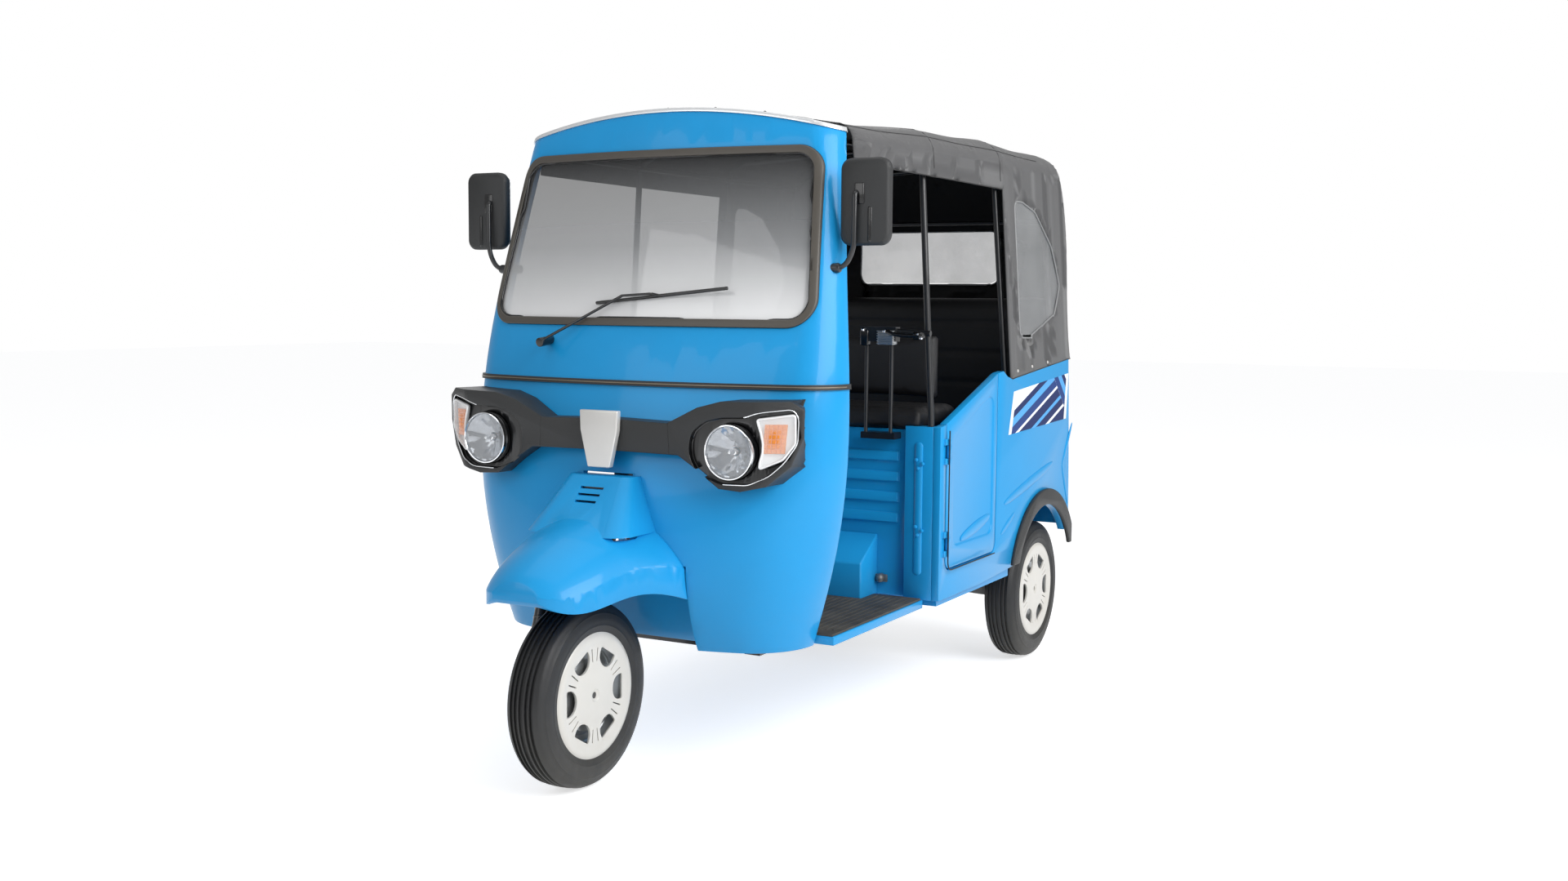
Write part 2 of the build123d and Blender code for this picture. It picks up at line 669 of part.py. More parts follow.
def hood_form(inset):
    """The hood's solid outer form, moved in by inset."""
    with BuildPart() as tunnel:
        for back, half, shoulder, crown, radius in HOOD_SECTIONS:
            with BuildSketch(Plane.XZ.offset(-behind(back))):
                low = HOOD_LOW_HALF - inset
                with BuildLine():
                    Polyline(
                        (-half + inset, shoulder - inset), (-low, HOOD_LOW), (low, HOOD_LOW),
                        (half - inset, shoulder - inset),
                    )
                    ThreePointArc((half - inset, shoulder - inset), (0, crown - inset), (-half + inset, shoulder - inset))
                make_face()
                fillet(vertices().group_by(Axis.Y)[-1], radius - inset)
        loft()
    with BuildPart() as rear_form:
        for height, rear, half, radius in HOOD_REAR:
            with BuildSketch(Plane.XY.offset(height)):
                with BuildLine():
                    Polyline(
                        (-half - 20, behind(300)), (half + 20 - inset, behind(300)),
                        (half + 20 - inset, behind(rear) - inset), (-half - 20, behind(rear) - inset), close=True,
                    )
                make_face()
                fillet(vertices().group_by(Axis.Y)[-1], radius - inset)
        loft()
    return tunnel.part & rear_form.part


hood = hood_form(0) - hood_form(HOOD_WALL) - box(-700, 700, 540, QUARTER_FRONT, 900, VALANCE_Z)
hood -= box(-700, 700, 300, 555, 900, 1700)
hood -= side_prism([(300, 900), (300, 2000), (405, 2000), (405, 900)], -700, 700)
front_edge = cowl_form(30, 60)
hood -= box(-700, 700, 300, 556, 900, 2000) - front_edge
hood -= COWL_SKIN
quarter_top = side_prism(
    [(1600, 1000), (1600, 1082.3), (1640, 1062.3), (1690, 1052.3), (2420, 1112.3), (2420, 1000)], -700, 700)
hood -= quarter_top
with BuildPart() as rear_cut:
    with BuildSketch(Plane.XZ.offset(-behind(2250))):
        with Locations((0, (WINDOW_BOTTOM + WINDOW_TOP) / 2)):
            RectangleRounded(2 * WINDOW_HALF, WINDOW_TOP - WINDOW_BOTTOM, 40)
    extrude(amount=-200)
QUARTER_WINDOW = [(1780, 1662), (1863, 1662), (1990, 1635), (2150, 1520), (2228, 1376), (2150, 1270), (1900, 1200),
                  (1780, 1200)]
quarter_cut = side_prism(QUARTER_WINDOW, -700, 700, 30)
write("canopy", hood - rear_cut.part - quarter_cut)
film = (hood_form(2) - hood_form(5)) & (rear_cut.part + quarter_cut)
write("clear_windows", film & box(-700, 700, 1700, 2500, 1100, 1700))

# Hood frame: three bows, two side rails and a rear cross rod
# distance behind the axle, foot height, foot half width, crown height
BOWS = [
    (1072, POST_TOP + GAP + 0.6, 562, 1820),
    (QUARTER_FRONT + 14, 1060, 574, 1840),
    (2180, 1099, 572, 1810),
]
RAIL_X = 508
RAIL_Z = 1752
RAIL_R = 7
frame = None
for back, foot, foot_x, crown in BOWS:
    arch_points = [(-foot_x, back, foot), (-516, back, crown - 58), (-450, back, crown - 22), (0, back, crown)]
    half_bow = bar(arch_points, BOW_R, 30)
    frame = half_bow + mirrored(half_bow) if frame is None else frame + half_bow + mirrored(half_bow)
for x in (-RAIL_X, RAIL_X):
    frame += bar([(x, 537, RAIL_Z), (x, BOWS[2][0], RAIL_Z)], RAIL_R)
frame += bar([(-530, BOWS[2][0], 1610), (530, BOWS[2][0], 1610)], RAIL_R)
write("hood_frame", frame)


# Chassis: head tube, down tube, floor rails, cross members and the engine cradle
def axis_back(height):
    """How far behind the front axle the steering axis lies at a height."""
    return STEER_BACK + (height - STEER_Z) * tan(radians(RAKE))


STEER = Plane(
    origin=(0, behind(STEER_BACK), STEER_Z), x_dir=(1, 0, 0), z_dir=(0, sin(radians(RAKE)), cos(radians(RAKE)))
)
RAIL_TOP = FLOOR_TOP - FLOOR_WALL - GAP
TIE_BACK = 560
TIE_R = 9
ENGINE = (-170, 170, 1900, 2240, 225, 470)
with BuildPart() as head_tube:
    with BuildSketch(STEER.offset(HEAD_LOW)):
        Circle(HEAD_R)
        Circle(COLUMN_R + RUNNING, mode=Mode.SUBTRACT)
    extrude(amount=HEAD_HIGH - HEAD_LOW)
with BuildPart() as head_core:
    with BuildSketch(STEER.offset(HEAD_LOW - 20)):
        Circle(COLUMN_R + RUNNING)
    extrude(amount=HEAD_HIGH - HEAD_LOW + 40)
frame = bar([(0, axis_back(790), 790), (0, 378, 370)], 20) - box(-100, 100, 0, 600, 300, FLOOR_TOP + GAP)
head = head_tube.part + (frame - head_core.part)
write("steering_head", head)
rails = None
for x in (-300, 300):
    rail = box(x - 25, x + 25, 420, 1790, RAIL_TOP - 50, RAIL_TOP)
    rail += box(x - 25, x + 25, BENCH_FRONT + GAP, 1790, RAIL_TOP - 50, ENGINE[5])
    rails = rail if rails is None else rails + rail
for back in (430, 1075, 1680):
    rails += box(-325, 325, back, back + 40, RAIL_TOP - 45, RAIL_TOP - 5)
with BuildPart() as tie_holes:
    with BuildSketch(Plane.YZ.offset(-400)):
        with Locations((behind(TIE_BACK), RAIL_TOP - 25)):
            Circle(TIE_R)
    extrude(amount=800)
write("chassis_frame", rails - tie_holes.part)
cradle = None
for x in (-200, 200):
    beam = box(x - 20, x + 20, BENCH_FRONT + GAP, 2285, ENGINE[5] + GAP, ENGINE[5] + 40)
    beam += box(x - 20, x + 20, 2150, 2190, ENGINE[5] + 40, HOUSE_TOP - GAP)
    cradle = beam if cradle is None else cradle + beam
cradle += box(-325, 325, BENCH_FRONT + GAP, 1790, ENGINE[5] + GAP, ENGINE[5] + 40)
cradle += box(-220, 220, 2200, 2240, ENGINE[5] + GAP, ENGINE[5] + 40)
write("engine_cradle", cradle)
write("engine_block", box(*ENGINE))

# Trailing arms and rear springs
with BuildPart() as swing_arm:
    with BuildSketch(Plane.YZ.offset(345)):
        with BuildLine():
            Polyline([(behind(1700), 300), (behind(1700), 352), (behind(2090), 300), (behind(2150), 270),
                      (behind(2150), 235), (behind(2060), 220)], close=True)
        make_face()
        fillet(vertices(), 10)
    extrude(amount=36)
    with BuildSketch(Plane.YZ.offset(345)):
        with Locations((behind(WHEELBASE), TYRE_R)):
            Circle(AXLE_R + RUNNING)
    extrude(amount=36, mode=Mode.SUBTRACT)
pivot = box(325 + GAP, 345, 1700, 1720 - GAP, 315, 345)
trailing = swing_arm.part + pivot
write("trailing_arms", trailing, mirrored(trailing))
spring = bar([(363, 1990, 300), (363, 1960, 640)], 26) - swing_arm.part - box(300, 400, 1800, 2200, HOUSE_TOP - GAP, 800)
write("rear_springs", spring, mirrored(spring))

# Steering body: column with its single-sided fork arm, handlebar, trailing link and spring
fork_low = (-FORK_X, LINK_PIVOT_BACK, LINK_PIVOT_Z)
with BuildPart() as stem:
    with BuildSketch(STEER.offset(-14)):
        Circle(COLUMN_R)
    extrude(amount=BAR_UP - BAR_R - GAP + 14)
column = stem.part + bar(
    [(0, axis_back(594), 594), (-30, 100, 588), (-FORK_X, 78, 556), fork_low], FORK_R, 24
)
column += bar([(-FORK_X - 17, fork_low[1], fork_low[2]), (-FORK_X + 17, fork_low[1], fork_low[2])], 24)
column += bar([(-FORK_X, 45, 500), (-FORK_X - 70, 45, 500)], 9)
pin_hole = bar([(-FORK_X - 40, fork_low[1], fork_low[2]), (-FORK_X + 40, fork_low[1], fork_low[2])], 10 + RUNNING)
write("steering_column", column - pin_hole)
link = side_prism(
    [(-120, 335), (-95, 352), (30, 280), (34, 240), (0, 222), (-40, 238), (-118, 300)], -FORK_X - 29, -FORK_X - 19
)
link += bar([(-FORK_X - 24, fork_low[1], fork_low[2]), (-FORK_X + 20, fork_low[1], fork_low[2])], 10)
link += bar([(-FORK_X - 26, 0, TYRE_R), (50, 0, TYRE_R)], AXLE_R)
link += bar([(-58, 0, TYRE_R), (-52, 0, TYRE_R)], DRUM_R - 3)
write("front_link", link)
shock = bar([(-FORK_X - 51, -22, 292), (-FORK_X - 51, 45, 500)], 19) - bar(
    [(-FORK_X, 45, 500), (-FORK_X - 90, 45, 500)], 9 + GAP) - link
shock = shock - box(-300, 0, -200, 200, 500, 600)
write("front_spring", shock)
with BuildPart() as handle:
    with BuildLine(STEER.offset(BAR_UP)) as handle_path:
        FilletPolyline((-BAR_HALF, BAR_BACK), (-BAR_HALF + 110, BAR_BACK - 22), (-70, 0), (70, 0),
                       (BAR_HALF - 110, BAR_BACK - 22), (BAR_HALF, BAR_BACK), radius=30)
    with BuildSketch(Plane(origin=handle_path.line @ 0, z_dir=handle_path.line % 0)):
        Circle(BAR_R)
    sweep()
grips = None
for sign in (-1, 1):
    with BuildPart() as grip:
        with BuildLine(STEER.offset(BAR_UP)) as grip_path:
            Line((sign * BAR_HALF, BAR_BACK), (sign * (BAR_HALF - 105), BAR_BACK - 21))
        with BuildSketch(Plane(origin=grip_path.line @ 0, z_dir=grip_path.line % 0)):
            Circle(GRIP_R)
        sweep()
    grips = grip.part if grips is None else grips + grip.part
write("handlebar", handle.part + grips)

# Wheels, made at the origin with the axle along X and the cover on the +X side
with BuildPart() as tyre:
    with BuildSketch(Plane.XY):
        with BuildLine():
            Polyline((-50, 172), (-BEAD_HALF, RIM_R), (BEAD_HALF, RIM_R), (50, 172))
            ThreePointArc((50, 172), (TYRE_HALF, 208), (56, 243))
            ThreePointArc((56, 243), (0, TYRE_R), (-56, 243))
            ThreePointArc((-56, 243), (-TYRE_HALF, 208), (-50, 172))
        make_face()
    revolve(axis=Axis.X)


def rim_solid(inner_r, shaft_end):
    """A steel rim with its disc and drum, bored for a stub axle, or with a drive shaft to shaft_end."""
    with BuildPart() as rim:
        with BuildSketch(Plane.XY):
            with BuildLine():
                Polyline(
                    (-BEAD_HALF, 138), (-BEAD_HALF, RIM_R - GAP), (51.7, RIM_R - GAP), (51.7, 138), (16, 130),
                    (16, HUB_R), (30, HUB_R), (30, inner_r), (-46, inner_r), (-46, DRUM_R), (6, DRUM_R), (6, 130),
                    close=True,
                )
            make_face()
        revolve(axis=Axis.X)
        if shaft_end:
            with BuildSketch(Plane.YZ.offset(shaft_end)):
                Circle(AXLE_R)
            extrude(amount=-shaft_end + 30)
    return rim.part


with BuildPart() as cover:
    with BuildSketch(Plane.XY):
        with BuildLine():
            Polyline(
                (52, 5), (52, 150), (53, COVER_R), (57, COVER_R), (COVER_FACE, 160), (COVER_FACE - 2, 148),
                (COVER_FACE - 1, 60), (COVER_FACE, 50), (COVER_FACE, 5), close=True,
            )
        make_face()
    revolve(axis=Axis.X)
    with BuildSketch(Plane.YZ.offset(40)):
        with PolarLocations(COVER_WINDOW_AT, 6):
            with BuildLine():
                Line((0, -COVER_WINDOW_HALF), (0, COVER_WINDOW_HALF))
                ThreePointArc((0, COVER_WINDOW_HALF), (-COVER_WINDOW_DEEP, 0), (0, -COVER_WINDOW_HALF))
            make_face()
    extrude(amount=30, mode=Mode.SUBTRACT)

WHEELS = [("front", 0, 0), ("rear_left", TRACK_HALF, WHEELBASE), ("rear_right", -TRACK_HALF, WHEELBASE)]
shaft_inner = 176
for name, x, back in WHEELS:
    rim = rim_solid(AXLE_R + RUNNING, 0) if name == "front" else rim_solid(AXLE_R - 1, shaft_inner - TRACK_HALF)
    place = Pos(x, behind(back), TYRE_R)
    for kind, solid in (("tyre", tyre.part), ("rim", rim), ("cover", cover.part)):
        wheel_piece = place * (mirrored(solid) if name == "rear_right" else solid)
        write(f"{name}_{kind}", wheel_piece)
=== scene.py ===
"""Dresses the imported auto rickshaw: paint, glass, lamps, tyres, seats and the fabric hood, and lights the stage."""
import json
from contextlib import contextmanager
from math import atan2, cos, pi, radians, sin, sqrt

import bpy
import bmesh
from mathutils import Matrix, Vector
from mathutils.noise import noise as cloth_noise


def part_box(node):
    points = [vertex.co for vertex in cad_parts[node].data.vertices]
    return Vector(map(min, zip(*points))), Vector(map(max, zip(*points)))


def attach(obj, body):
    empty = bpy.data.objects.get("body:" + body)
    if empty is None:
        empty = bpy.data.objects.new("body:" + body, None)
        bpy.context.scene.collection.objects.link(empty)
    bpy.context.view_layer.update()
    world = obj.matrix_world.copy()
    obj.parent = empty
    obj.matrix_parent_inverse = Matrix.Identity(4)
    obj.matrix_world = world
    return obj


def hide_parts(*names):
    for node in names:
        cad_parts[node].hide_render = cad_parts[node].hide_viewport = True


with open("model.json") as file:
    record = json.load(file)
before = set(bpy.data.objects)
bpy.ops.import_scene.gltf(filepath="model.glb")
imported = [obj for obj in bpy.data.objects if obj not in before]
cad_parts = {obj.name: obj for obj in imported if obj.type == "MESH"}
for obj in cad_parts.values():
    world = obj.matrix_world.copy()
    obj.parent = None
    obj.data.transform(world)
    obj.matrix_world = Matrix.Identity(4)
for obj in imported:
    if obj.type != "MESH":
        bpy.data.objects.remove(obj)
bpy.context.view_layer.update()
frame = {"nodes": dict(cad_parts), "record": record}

bl_info = {
    "name": "Auto rickshaw finish",
    "version": (1, 0, 0),
    "blender": (4, 5, 0),
    "location": "3D View > Sidebar > Rickshaw",
    "description": "Finishes the auto rickshaw's pieces and sets up a plain studio",
    "category": "Object",
}

MM = 0.001
SIDES = ((1, "left"), (-1, "right"))
AXLE_Y = sum(corner[1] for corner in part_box("front_rim")) / 2


def behind(distance):
    """Y of a place that far behind the front axle, in metres."""
    return AXLE_Y + distance


# Colour and node helpers


def linear(hexadecimal):
    """A screen colour such as 1E9CDC as linear RGBA."""
    parts = [int(hexadecimal[i:i + 2], 16) / 255 for i in (0, 2, 4)]
    return (*[p / 12.92 if p < 0.04045 else ((p + 0.055) / 1.055) ** 2.4 for p in parts], 1)


class Material:
    """A material's node tree with short calls to add and join nodes."""

    def __init__(self, name):
        self.data = bpy.data.materials.new(name)
        self.data.use_nodes = True
        self.tree = self.data.node_tree
        self.nodes = self.tree.nodes
        self.shader = self.nodes["Principled BSDF"]
        self.output = self.nodes["Material Output"]

    def add(self, kind, **values):
        node = self.nodes.new(kind)
        for key, value in values.items():
            if hasattr(node, key):
                setattr(node, key, value)
            else:
                node.inputs[key.replace("_", " ")].default_value = value
        return node

    def join(self, source, target):
        self.tree.links.new(source, target)

    def set(self, **values):
        for key, value in values.items():
            self.shader.inputs[key.replace("_", " ")].default_value = value
        return self


# Modelling helpers


def deselect():
    if bpy.context.object and bpy.context.object.mode != "OBJECT":
        bpy.ops.object.mode_set(mode="OBJECT")
    bpy.ops.object.select_all(action="DESELECT")


def choose(piece):
    deselect()
    piece.select_set(True)
    bpy.context.view_layer.objects.active = piece


@contextmanager
def editing(piece):
    """Edit mode on a piece, with all of it selected."""
    choose(piece)
    bpy.ops.object.mode_set(mode="EDIT")
    bpy.ops.mesh.select_all(action="SELECT")
    yield
    bpy.ops.object.mode_set(mode="OBJECT")


def dressed_copy(node, angle=32):
    """A copy of a CAD node with its loose triangles joined and its smooth faces shaded smooth."""
    source = frame["nodes"][node]
    piece = source.copy()
    piece.data = source.data.copy()
    for key in list(piece.keys()):
        del piece[key]
    piece.parent = None
    piece.name = node + "_skin"
    bpy.context.scene.collection.objects.link(piece)
    with editing(piece):
        bpy.ops.mesh.remove_doubles(threshold=0.00002)
    bpy.ops.object.shade_smooth_by_angle(angle=radians(angle))
    return piece


def apply_modifier(piece, kind, **settings):
    choose(piece)
    modifier = piece.modifiers.new(kind.title(), kind)
    for key, value in settings.items():
        setattr(modifier, key, value)
    bpy.ops.object.modifier_apply(modifier=modifier.name)


def bevelled_box(name, low, high, bevel=0.0, segments=3):
    """A block between two corners with its edges rounded."""
    deselect()
    middle = [(a + b) / 2 for a, b in zip(low, high)]
    bpy.ops.mesh.primitive_cube_add(size=1, location=middle, scale=[b - a for a, b in zip(low, high)])
    piece = bpy.context.object
    piece.name = name
    bpy.ops.object.transform_apply(location=True, rotation=True, scale=True)
    if bevel:
        apply_modifier(piece, "BEVEL", width=bevel, segments=segments, limit_method="NONE")
    return piece


def mesh_piece(name, points, edges=(), faces=()):
    """A new object from points, to be shaped by edit-mode operators."""
    mesh = bpy.data.meshes.new(name)
    mesh.from_pydata(points, edges, faces)
    piece = bpy.data.objects.new(name, mesh)
    bpy.context.scene.collection.objects.link(piece)
    choose(piece)
    return piece


def smooth(piece, angle=35):
    choose(piece)
    bpy.ops.object.shade_smooth_by_angle(angle=radians(angle))
    return piece


def recalculate(piece):
    """Joins doubled points and turns the faces outwards."""
    with editing(piece):
        bpy.ops.mesh.remove_doubles(threshold=0.00001)
        bpy.ops.mesh.normals_make_consistent(inside=False)


AXES = {"X": Vector((1, 0, 0)), "Y": Vector((0, 1, 0)), "Z": Vector((0, 0, 1))}
OUTWARDS = {"X": Vector((0, 0, 1)), "Y": Vector((0, 0, 1)), "Z": Vector((1, 0, 0))}


def lathe(name, profile, centre, axis="X", steps=72, closed=True):
    """Spins a profile of (along the axis, radius) points about an axis through centre."""
    centre = Vector(centre)
    points = [centre + AXES[axis] * along + OUTWARDS[axis] * radius for along, radius in profile]
    edges = [(i, i + 1) for i in range(len(points) - 1)]
    if closed:
        edges.append((len(points) - 1, 0))
    piece = mesh_piece(name, points, edges)
    with editing(piece):
        bpy.ops.mesh.spin(steps=steps, angle=2 * pi, center=centre, axis=AXES[axis])
    recalculate(piece)
    return smooth(piece)


def plate(name, outline, depth, plane="X", at=0.0, bevel=0.0, segments=3):
    """A flat plate: an outline of (u, v) points pushed along an axis by depth, with rounded edges."""
    def place(u, v):
        return {"X": (at, u, v), "Y": (u, at, v), "Z": (u, v, at)}[plane]
    piece = mesh_piece(name, [place(u, v) for u, v in outline], faces=[tuple(range(len(outline)))])
    with editing(piece):
        bpy.ops.mesh.extrude_region_move(TRANSFORM_OT_translate={"value": AXES[plane] * depth})
    recalculate(piece)
    if bevel:
        apply_modifier(piece, "BEVEL", width=bevel, segments=segments, limit_method="ANGLE", angle_limit=radians(40))
    return smooth(piece)


def rounded(points, radius, steps=5, closed=False):
    """A polyline or outline with its corners rounded."""
    points = [Vector(p) for p in points]
    count = len(points)
    result = []
    for i, corner in enumerate(points):
        if not closed and i in (0, count - 1):
            result.append(corner)
            continue
        before = points[i - 1] - corner
        after = points[(i + 1) % count] - corner
        reach = min(radius, before.length * 0.48, after.length * 0.48)
        start = corner + before.normalized() * reach
        end = corner + after.normalized() * reach
        for step in range(steps + 1):
            t = step / steps
            result.append(start * (1 - t) ** 2 + corner * 2 * t * (1 - t) + end * t ** 2)
    return result


def round_bar(name, places, radius, closed, sides, angle):
    """A round bar through places, as a ring or with closed ends."""
    curve = bpy.data.curves.new(name, "CURVE")
    curve.dimensions = "3D"
    curve.bevel_depth = radius
    curve.bevel_resolution = sides // 4
    curve.use_fill_caps = not closed
    spline = curve.splines.new("POLY")
    spline.points.add(len(places) - 1)
    spline.use_cyclic_u = closed
    for point, place in zip(spline.points, places):
        point.co = (*place, 1)
    piece = bpy.data.objects.new(name, curve)
    bpy.context.scene.collection.objects.link(piece)
    choose(piece)
    bpy.ops.object.convert(target="MESH")
    recalculate(piece)
    return smooth(piece, angle)


def rounded_outline(points, radius, steps):
    """An outline of (u, v) points with its corners rounded."""
    return [(p.x, p.y) for p in rounded([(u, v, 0) for u, v in points], radius, steps, True)]


def tube(name, points, radius, bend=0.02, sides=12):
    """A round bar along a polyline with rounded bends and closed ends."""
    return round_bar(name, rounded(points, bend), radius, False, sides, 35)


def piping(name, points, radius, closed=True, sides=8):
    """A round welt through many close points."""
    return round_bar(name, points, radius, closed, sides, 60)


def join(name, pieces):
    """Joins pieces to one object under a name."""
    deselect()
    for piece in pieces:
        piece.select_set(True)
    bpy.context.view_layer.objects.active = pieces[0]
    if len(pieces) > 1:
        bpy.ops.object.join()
    pieces[0].name = name
    return pieces[0]


def cut(piece, tool):
    """Takes a closed tool shape out of a closed piece."""
    apply_modifier(piece, "BOOLEAN", operation="DIFFERENCE", object=tool, solver="EXACT")
    bpy.data.objects.remove(tool)


def settle(piece, finish_name, slot, *nodes, body="chassis"):
    """Gives a finished piece its finish, the CAD nodes it stands for and the body it rides on; the slot is not used."""
    if finish_name:
        piece.data.materials.clear()
        piece.data.materials.append(finish(finish_name).data)
    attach(piece, body)
    if nodes:
        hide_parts(*nodes)
    return piece


# Shared surface effects


def effect(name, inputs, outputs):
    """An empty shader node group with its sockets and its two end nodes."""
    group = bpy.data.node_groups.new(name, "ShaderNodeTree")
    for label, kind, value in inputs:
        socket = group.interface.new_socket(label, in_out="INPUT", socket_type=kind)
        socket.default_value = value
    for label, kind in outputs:
        group.interface.new_socket(label, in_out="OUTPUT", socket_type=kind)
    return group, group.nodes.new("NodeGroupInput"), group.nodes.new("NodeGroupOutput")


def maths(group, operation, a, b=None, c=None, clamp=False):
    """A math node in a group; a and b are sockets or numbers."""
    node = group.nodes.new("ShaderNodeMath")
    node.operation = operation
    node.use_clamp = clamp
    for i, value in enumerate((a, b, c)):
        if value is None:
            continue
        if isinstance(value, (int, float)):
            node.inputs[i].default_value = value
        else:
            group.links.new(value, node.inputs[i])
    return node.outputs[0]


def mix_colour(group, factor, a, b, blend="MIX"):
    """A colour mix node; the factor and the colours are sockets or values."""
    node = group.nodes.new("ShaderNodeMix")
    node.data_type = "RGBA"
    node.blend_type = blend
    for socket, value in zip((node.inputs[0], node.inputs[6], node.inputs[7]), (factor, a, b)):
        if isinstance(value, (int, float, tuple)):
            socket.default_value = value
        else:
            group.links.new(value, socket)
    return node.outputs[2]


def noise(group, scale, detail=3.0, rough=0.5, vector=None):
    """A noise texture on the object's own coordinates."""
    node = group.nodes.new("ShaderNodeTexNoise")
    node.inputs["Detail"].default_value = detail
    node.inputs["Roughness"].default_value = rough
    if isinstance(scale, (int, float)):
        node.inputs["Scale"].default_value = scale
    else:
        group.links.new(scale, node.inputs["Scale"])
    if vector is None:
        place = group.nodes.new("ShaderNodeTexCoord")
        vector = place.outputs["Object"]
    group.links.new(vector, node.inputs["Vector"])
    return node.outputs["Fac"]


def make_road_dust():
    """Dust that thickens towards the road and lies in soft patches: colour and roughness."""
    group, given, result = effect(
        "road_dust",
        [("Color", "NodeSocketColor", (0.5, 0.5, 0.5, 1)), ("Roughness", "NodeSocketFloat", 0.4),
         ("Dust Color", "NodeSocketColor", linear("8A8578")), ("Amount", "NodeSocketFloat", 0.3),
         ("Height", "NodeSocketFloat", 0.5)],
        [("Color", "NodeSocketColor"), ("Roughness", "NodeSocketFloat")])
    place = group.nodes.new("ShaderNodeTexCoord")
    split = group.nodes.new("ShaderNodeSeparateXYZ")
    group.links.new(place.outputs["Object"], split.inputs[0])
    low = maths(group, "SUBTRACT", 1.0, maths(group, "DIVIDE", split.outputs["Z"], given.outputs["Height"]), clamp=True)
    patches = maths(group, "MULTIPLY_ADD", noise(group, 9.0, 5.0, 0.6), 1.6, -0.3, clamp=True)
    share = maths(group, "MULTIPLY", maths(group, "MULTIPLY", low, patches), given.outputs["Amount"], clamp=True)
    colour = mix_colour(group, share, given.outputs["Color"], given.outputs["Dust Color"])
    group.links.new(colour, result.inputs["Color"])
    rough = maths(group, "MULTIPLY_ADD", share, 0.4, given.outputs["Roughness"], clamp=True)
    group.links.new(rough, result.inputs["Roughness"])
    return group


def make_mottle():
    """Slight lightening and darkening of a colour and of its gloss in soft patches."""
    group, given, result = effect(
        "mottle",
        [("Color", "NodeSocketColor", (0.5, 0.5, 0.5, 1)), ("Roughness", "NodeSocketFloat", 0.4),
         ("Scale", "NodeSocketFloat", 12.0), ("Strength", "NodeSocketFloat", 0.15)],
        [("Color", "NodeSocketColor"), ("Roughness", "NodeSocketFloat")])
    patches = noise(group, given.outputs["Scale"], 6.0, 0.62)
    shift = maths(group, "MULTIPLY", maths(group, "SUBTRACT", patches, 0.5), given.outputs["Strength"])
    level = maths(group, "MULTIPLY_ADD", shift, 2.0, 1.0)
    grey = group.nodes.new("ShaderNodeCombineColor")
    for channel in range(3):
        group.links.new(level, grey.inputs[channel])
    group.links.new(mix_colour(group, 1.0, given.outputs["Color"], grey.outputs[0], "MULTIPLY"), result.inputs["Color"])
    group.links.new(maths(group, "ADD", given.outputs["Roughness"], shift, clamp=True), result.inputs["Roughness"])
    return group


def make_grain():
    """The height of a moulded or leather-like grain: rounded cells with fine creases."""
    group, given, result = effect(
        "grain", [("Scale", "NodeSocketFloat", 600.0), ("Creases", "NodeSocketFloat", 0.5)],
        [("Height", "NodeSocketFloat")])
    place = group.nodes.new("ShaderNodeTexCoord")
    cells = group.nodes.new("ShaderNodeTexVoronoi")
    cells.feature = "DISTANCE_TO_EDGE"
    group.links.new(place.outputs["Object"], cells.inputs["Vector"])
    group.links.new(given.outputs["Scale"], cells.inputs["Scale"])
    rounded_cells = maths(group, "POWER", cells.outputs["Distance"], 0.5)
    fine = noise(group, maths(group, "MULTIPLY", given.outputs["Scale"], 0.35), 4.0)
    height = maths(group, "MULTIPLY_ADD", fine, given.outputs["Creases"], rounded_cells)
    group.links.new(height, result.inputs["Height"])
    return group


def make_weave():
    """The height of a plain weave and a mask of its threads, from waves along the three axes."""
    group, given, result = effect(
        "weave", [("Threads", "NodeSocketFloat", 500.0)],
        [("Height", "NodeSocketFloat"), ("Thread", "NodeSocketFloat")])
    place = group.nodes.new("ShaderNodeTexCoord")
    split = group.nodes.new("ShaderNodeSeparateXYZ")
    group.links.new(place.outputs["Object"], split.inputs[0])
    turn = maths(group, "MULTIPLY", given.outputs["Threads"], 2 * pi)
    waves = []
    for axis in ("X", "Y", "Z"):
        wave = maths(group, "SINE", maths(group, "MULTIPLY", split.outputs[axis], turn))
        waves.append(wave)
    warp = maths(group, "MULTIPLY", waves[0], waves[1])
    weft = maths(group, "MULTIPLY", waves[1], waves[2])
    cloth = maths(group, "ADD", warp, weft)
    height = maths(group, "MULTIPLY_ADD", cloth, 0.25, 0.5, clamp=True)
    group.links.new(height, result.inputs["Height"])
    half = maths(group, "MULTIPLY", height, 0.5)
    group.links.new(maths(group, "MULTIPLY_ADD", noise(group, 45.0, 6.0, 0.7), 0.5, half), result.inputs["Thread"])
    return group


EFFECTS = {}


def place_effect(material, name, **values):
    """Adds a shared effect to a material with its own values."""
    makers = {"road_dust": make_road_dust, "mottle": make_mottle, "grain": make_grain, "weave": make_weave}
    if name not in EFFECTS:
        EFFECTS[name] = makers[name]()
    node = material.nodes.new("ShaderNodeGroup")
    node.node_tree = EFFECTS[name]
    for key, value in values.items():
        node.inputs[key.replace("_", " ")].default_value = value
    return node


def add_bump(material, height, distance, strength=0.5):
    """Feeds a height to the shader's normal."""
    bump = material.nodes.new("ShaderNodeBump")
    bump.inputs["Strength"].default_value = strength
    bump.inputs["Distance"].default_value = distance
    material.join(height, bump.inputs["Height"])
    material.join(bump.outputs[0], material.shader.inputs["Normal"])


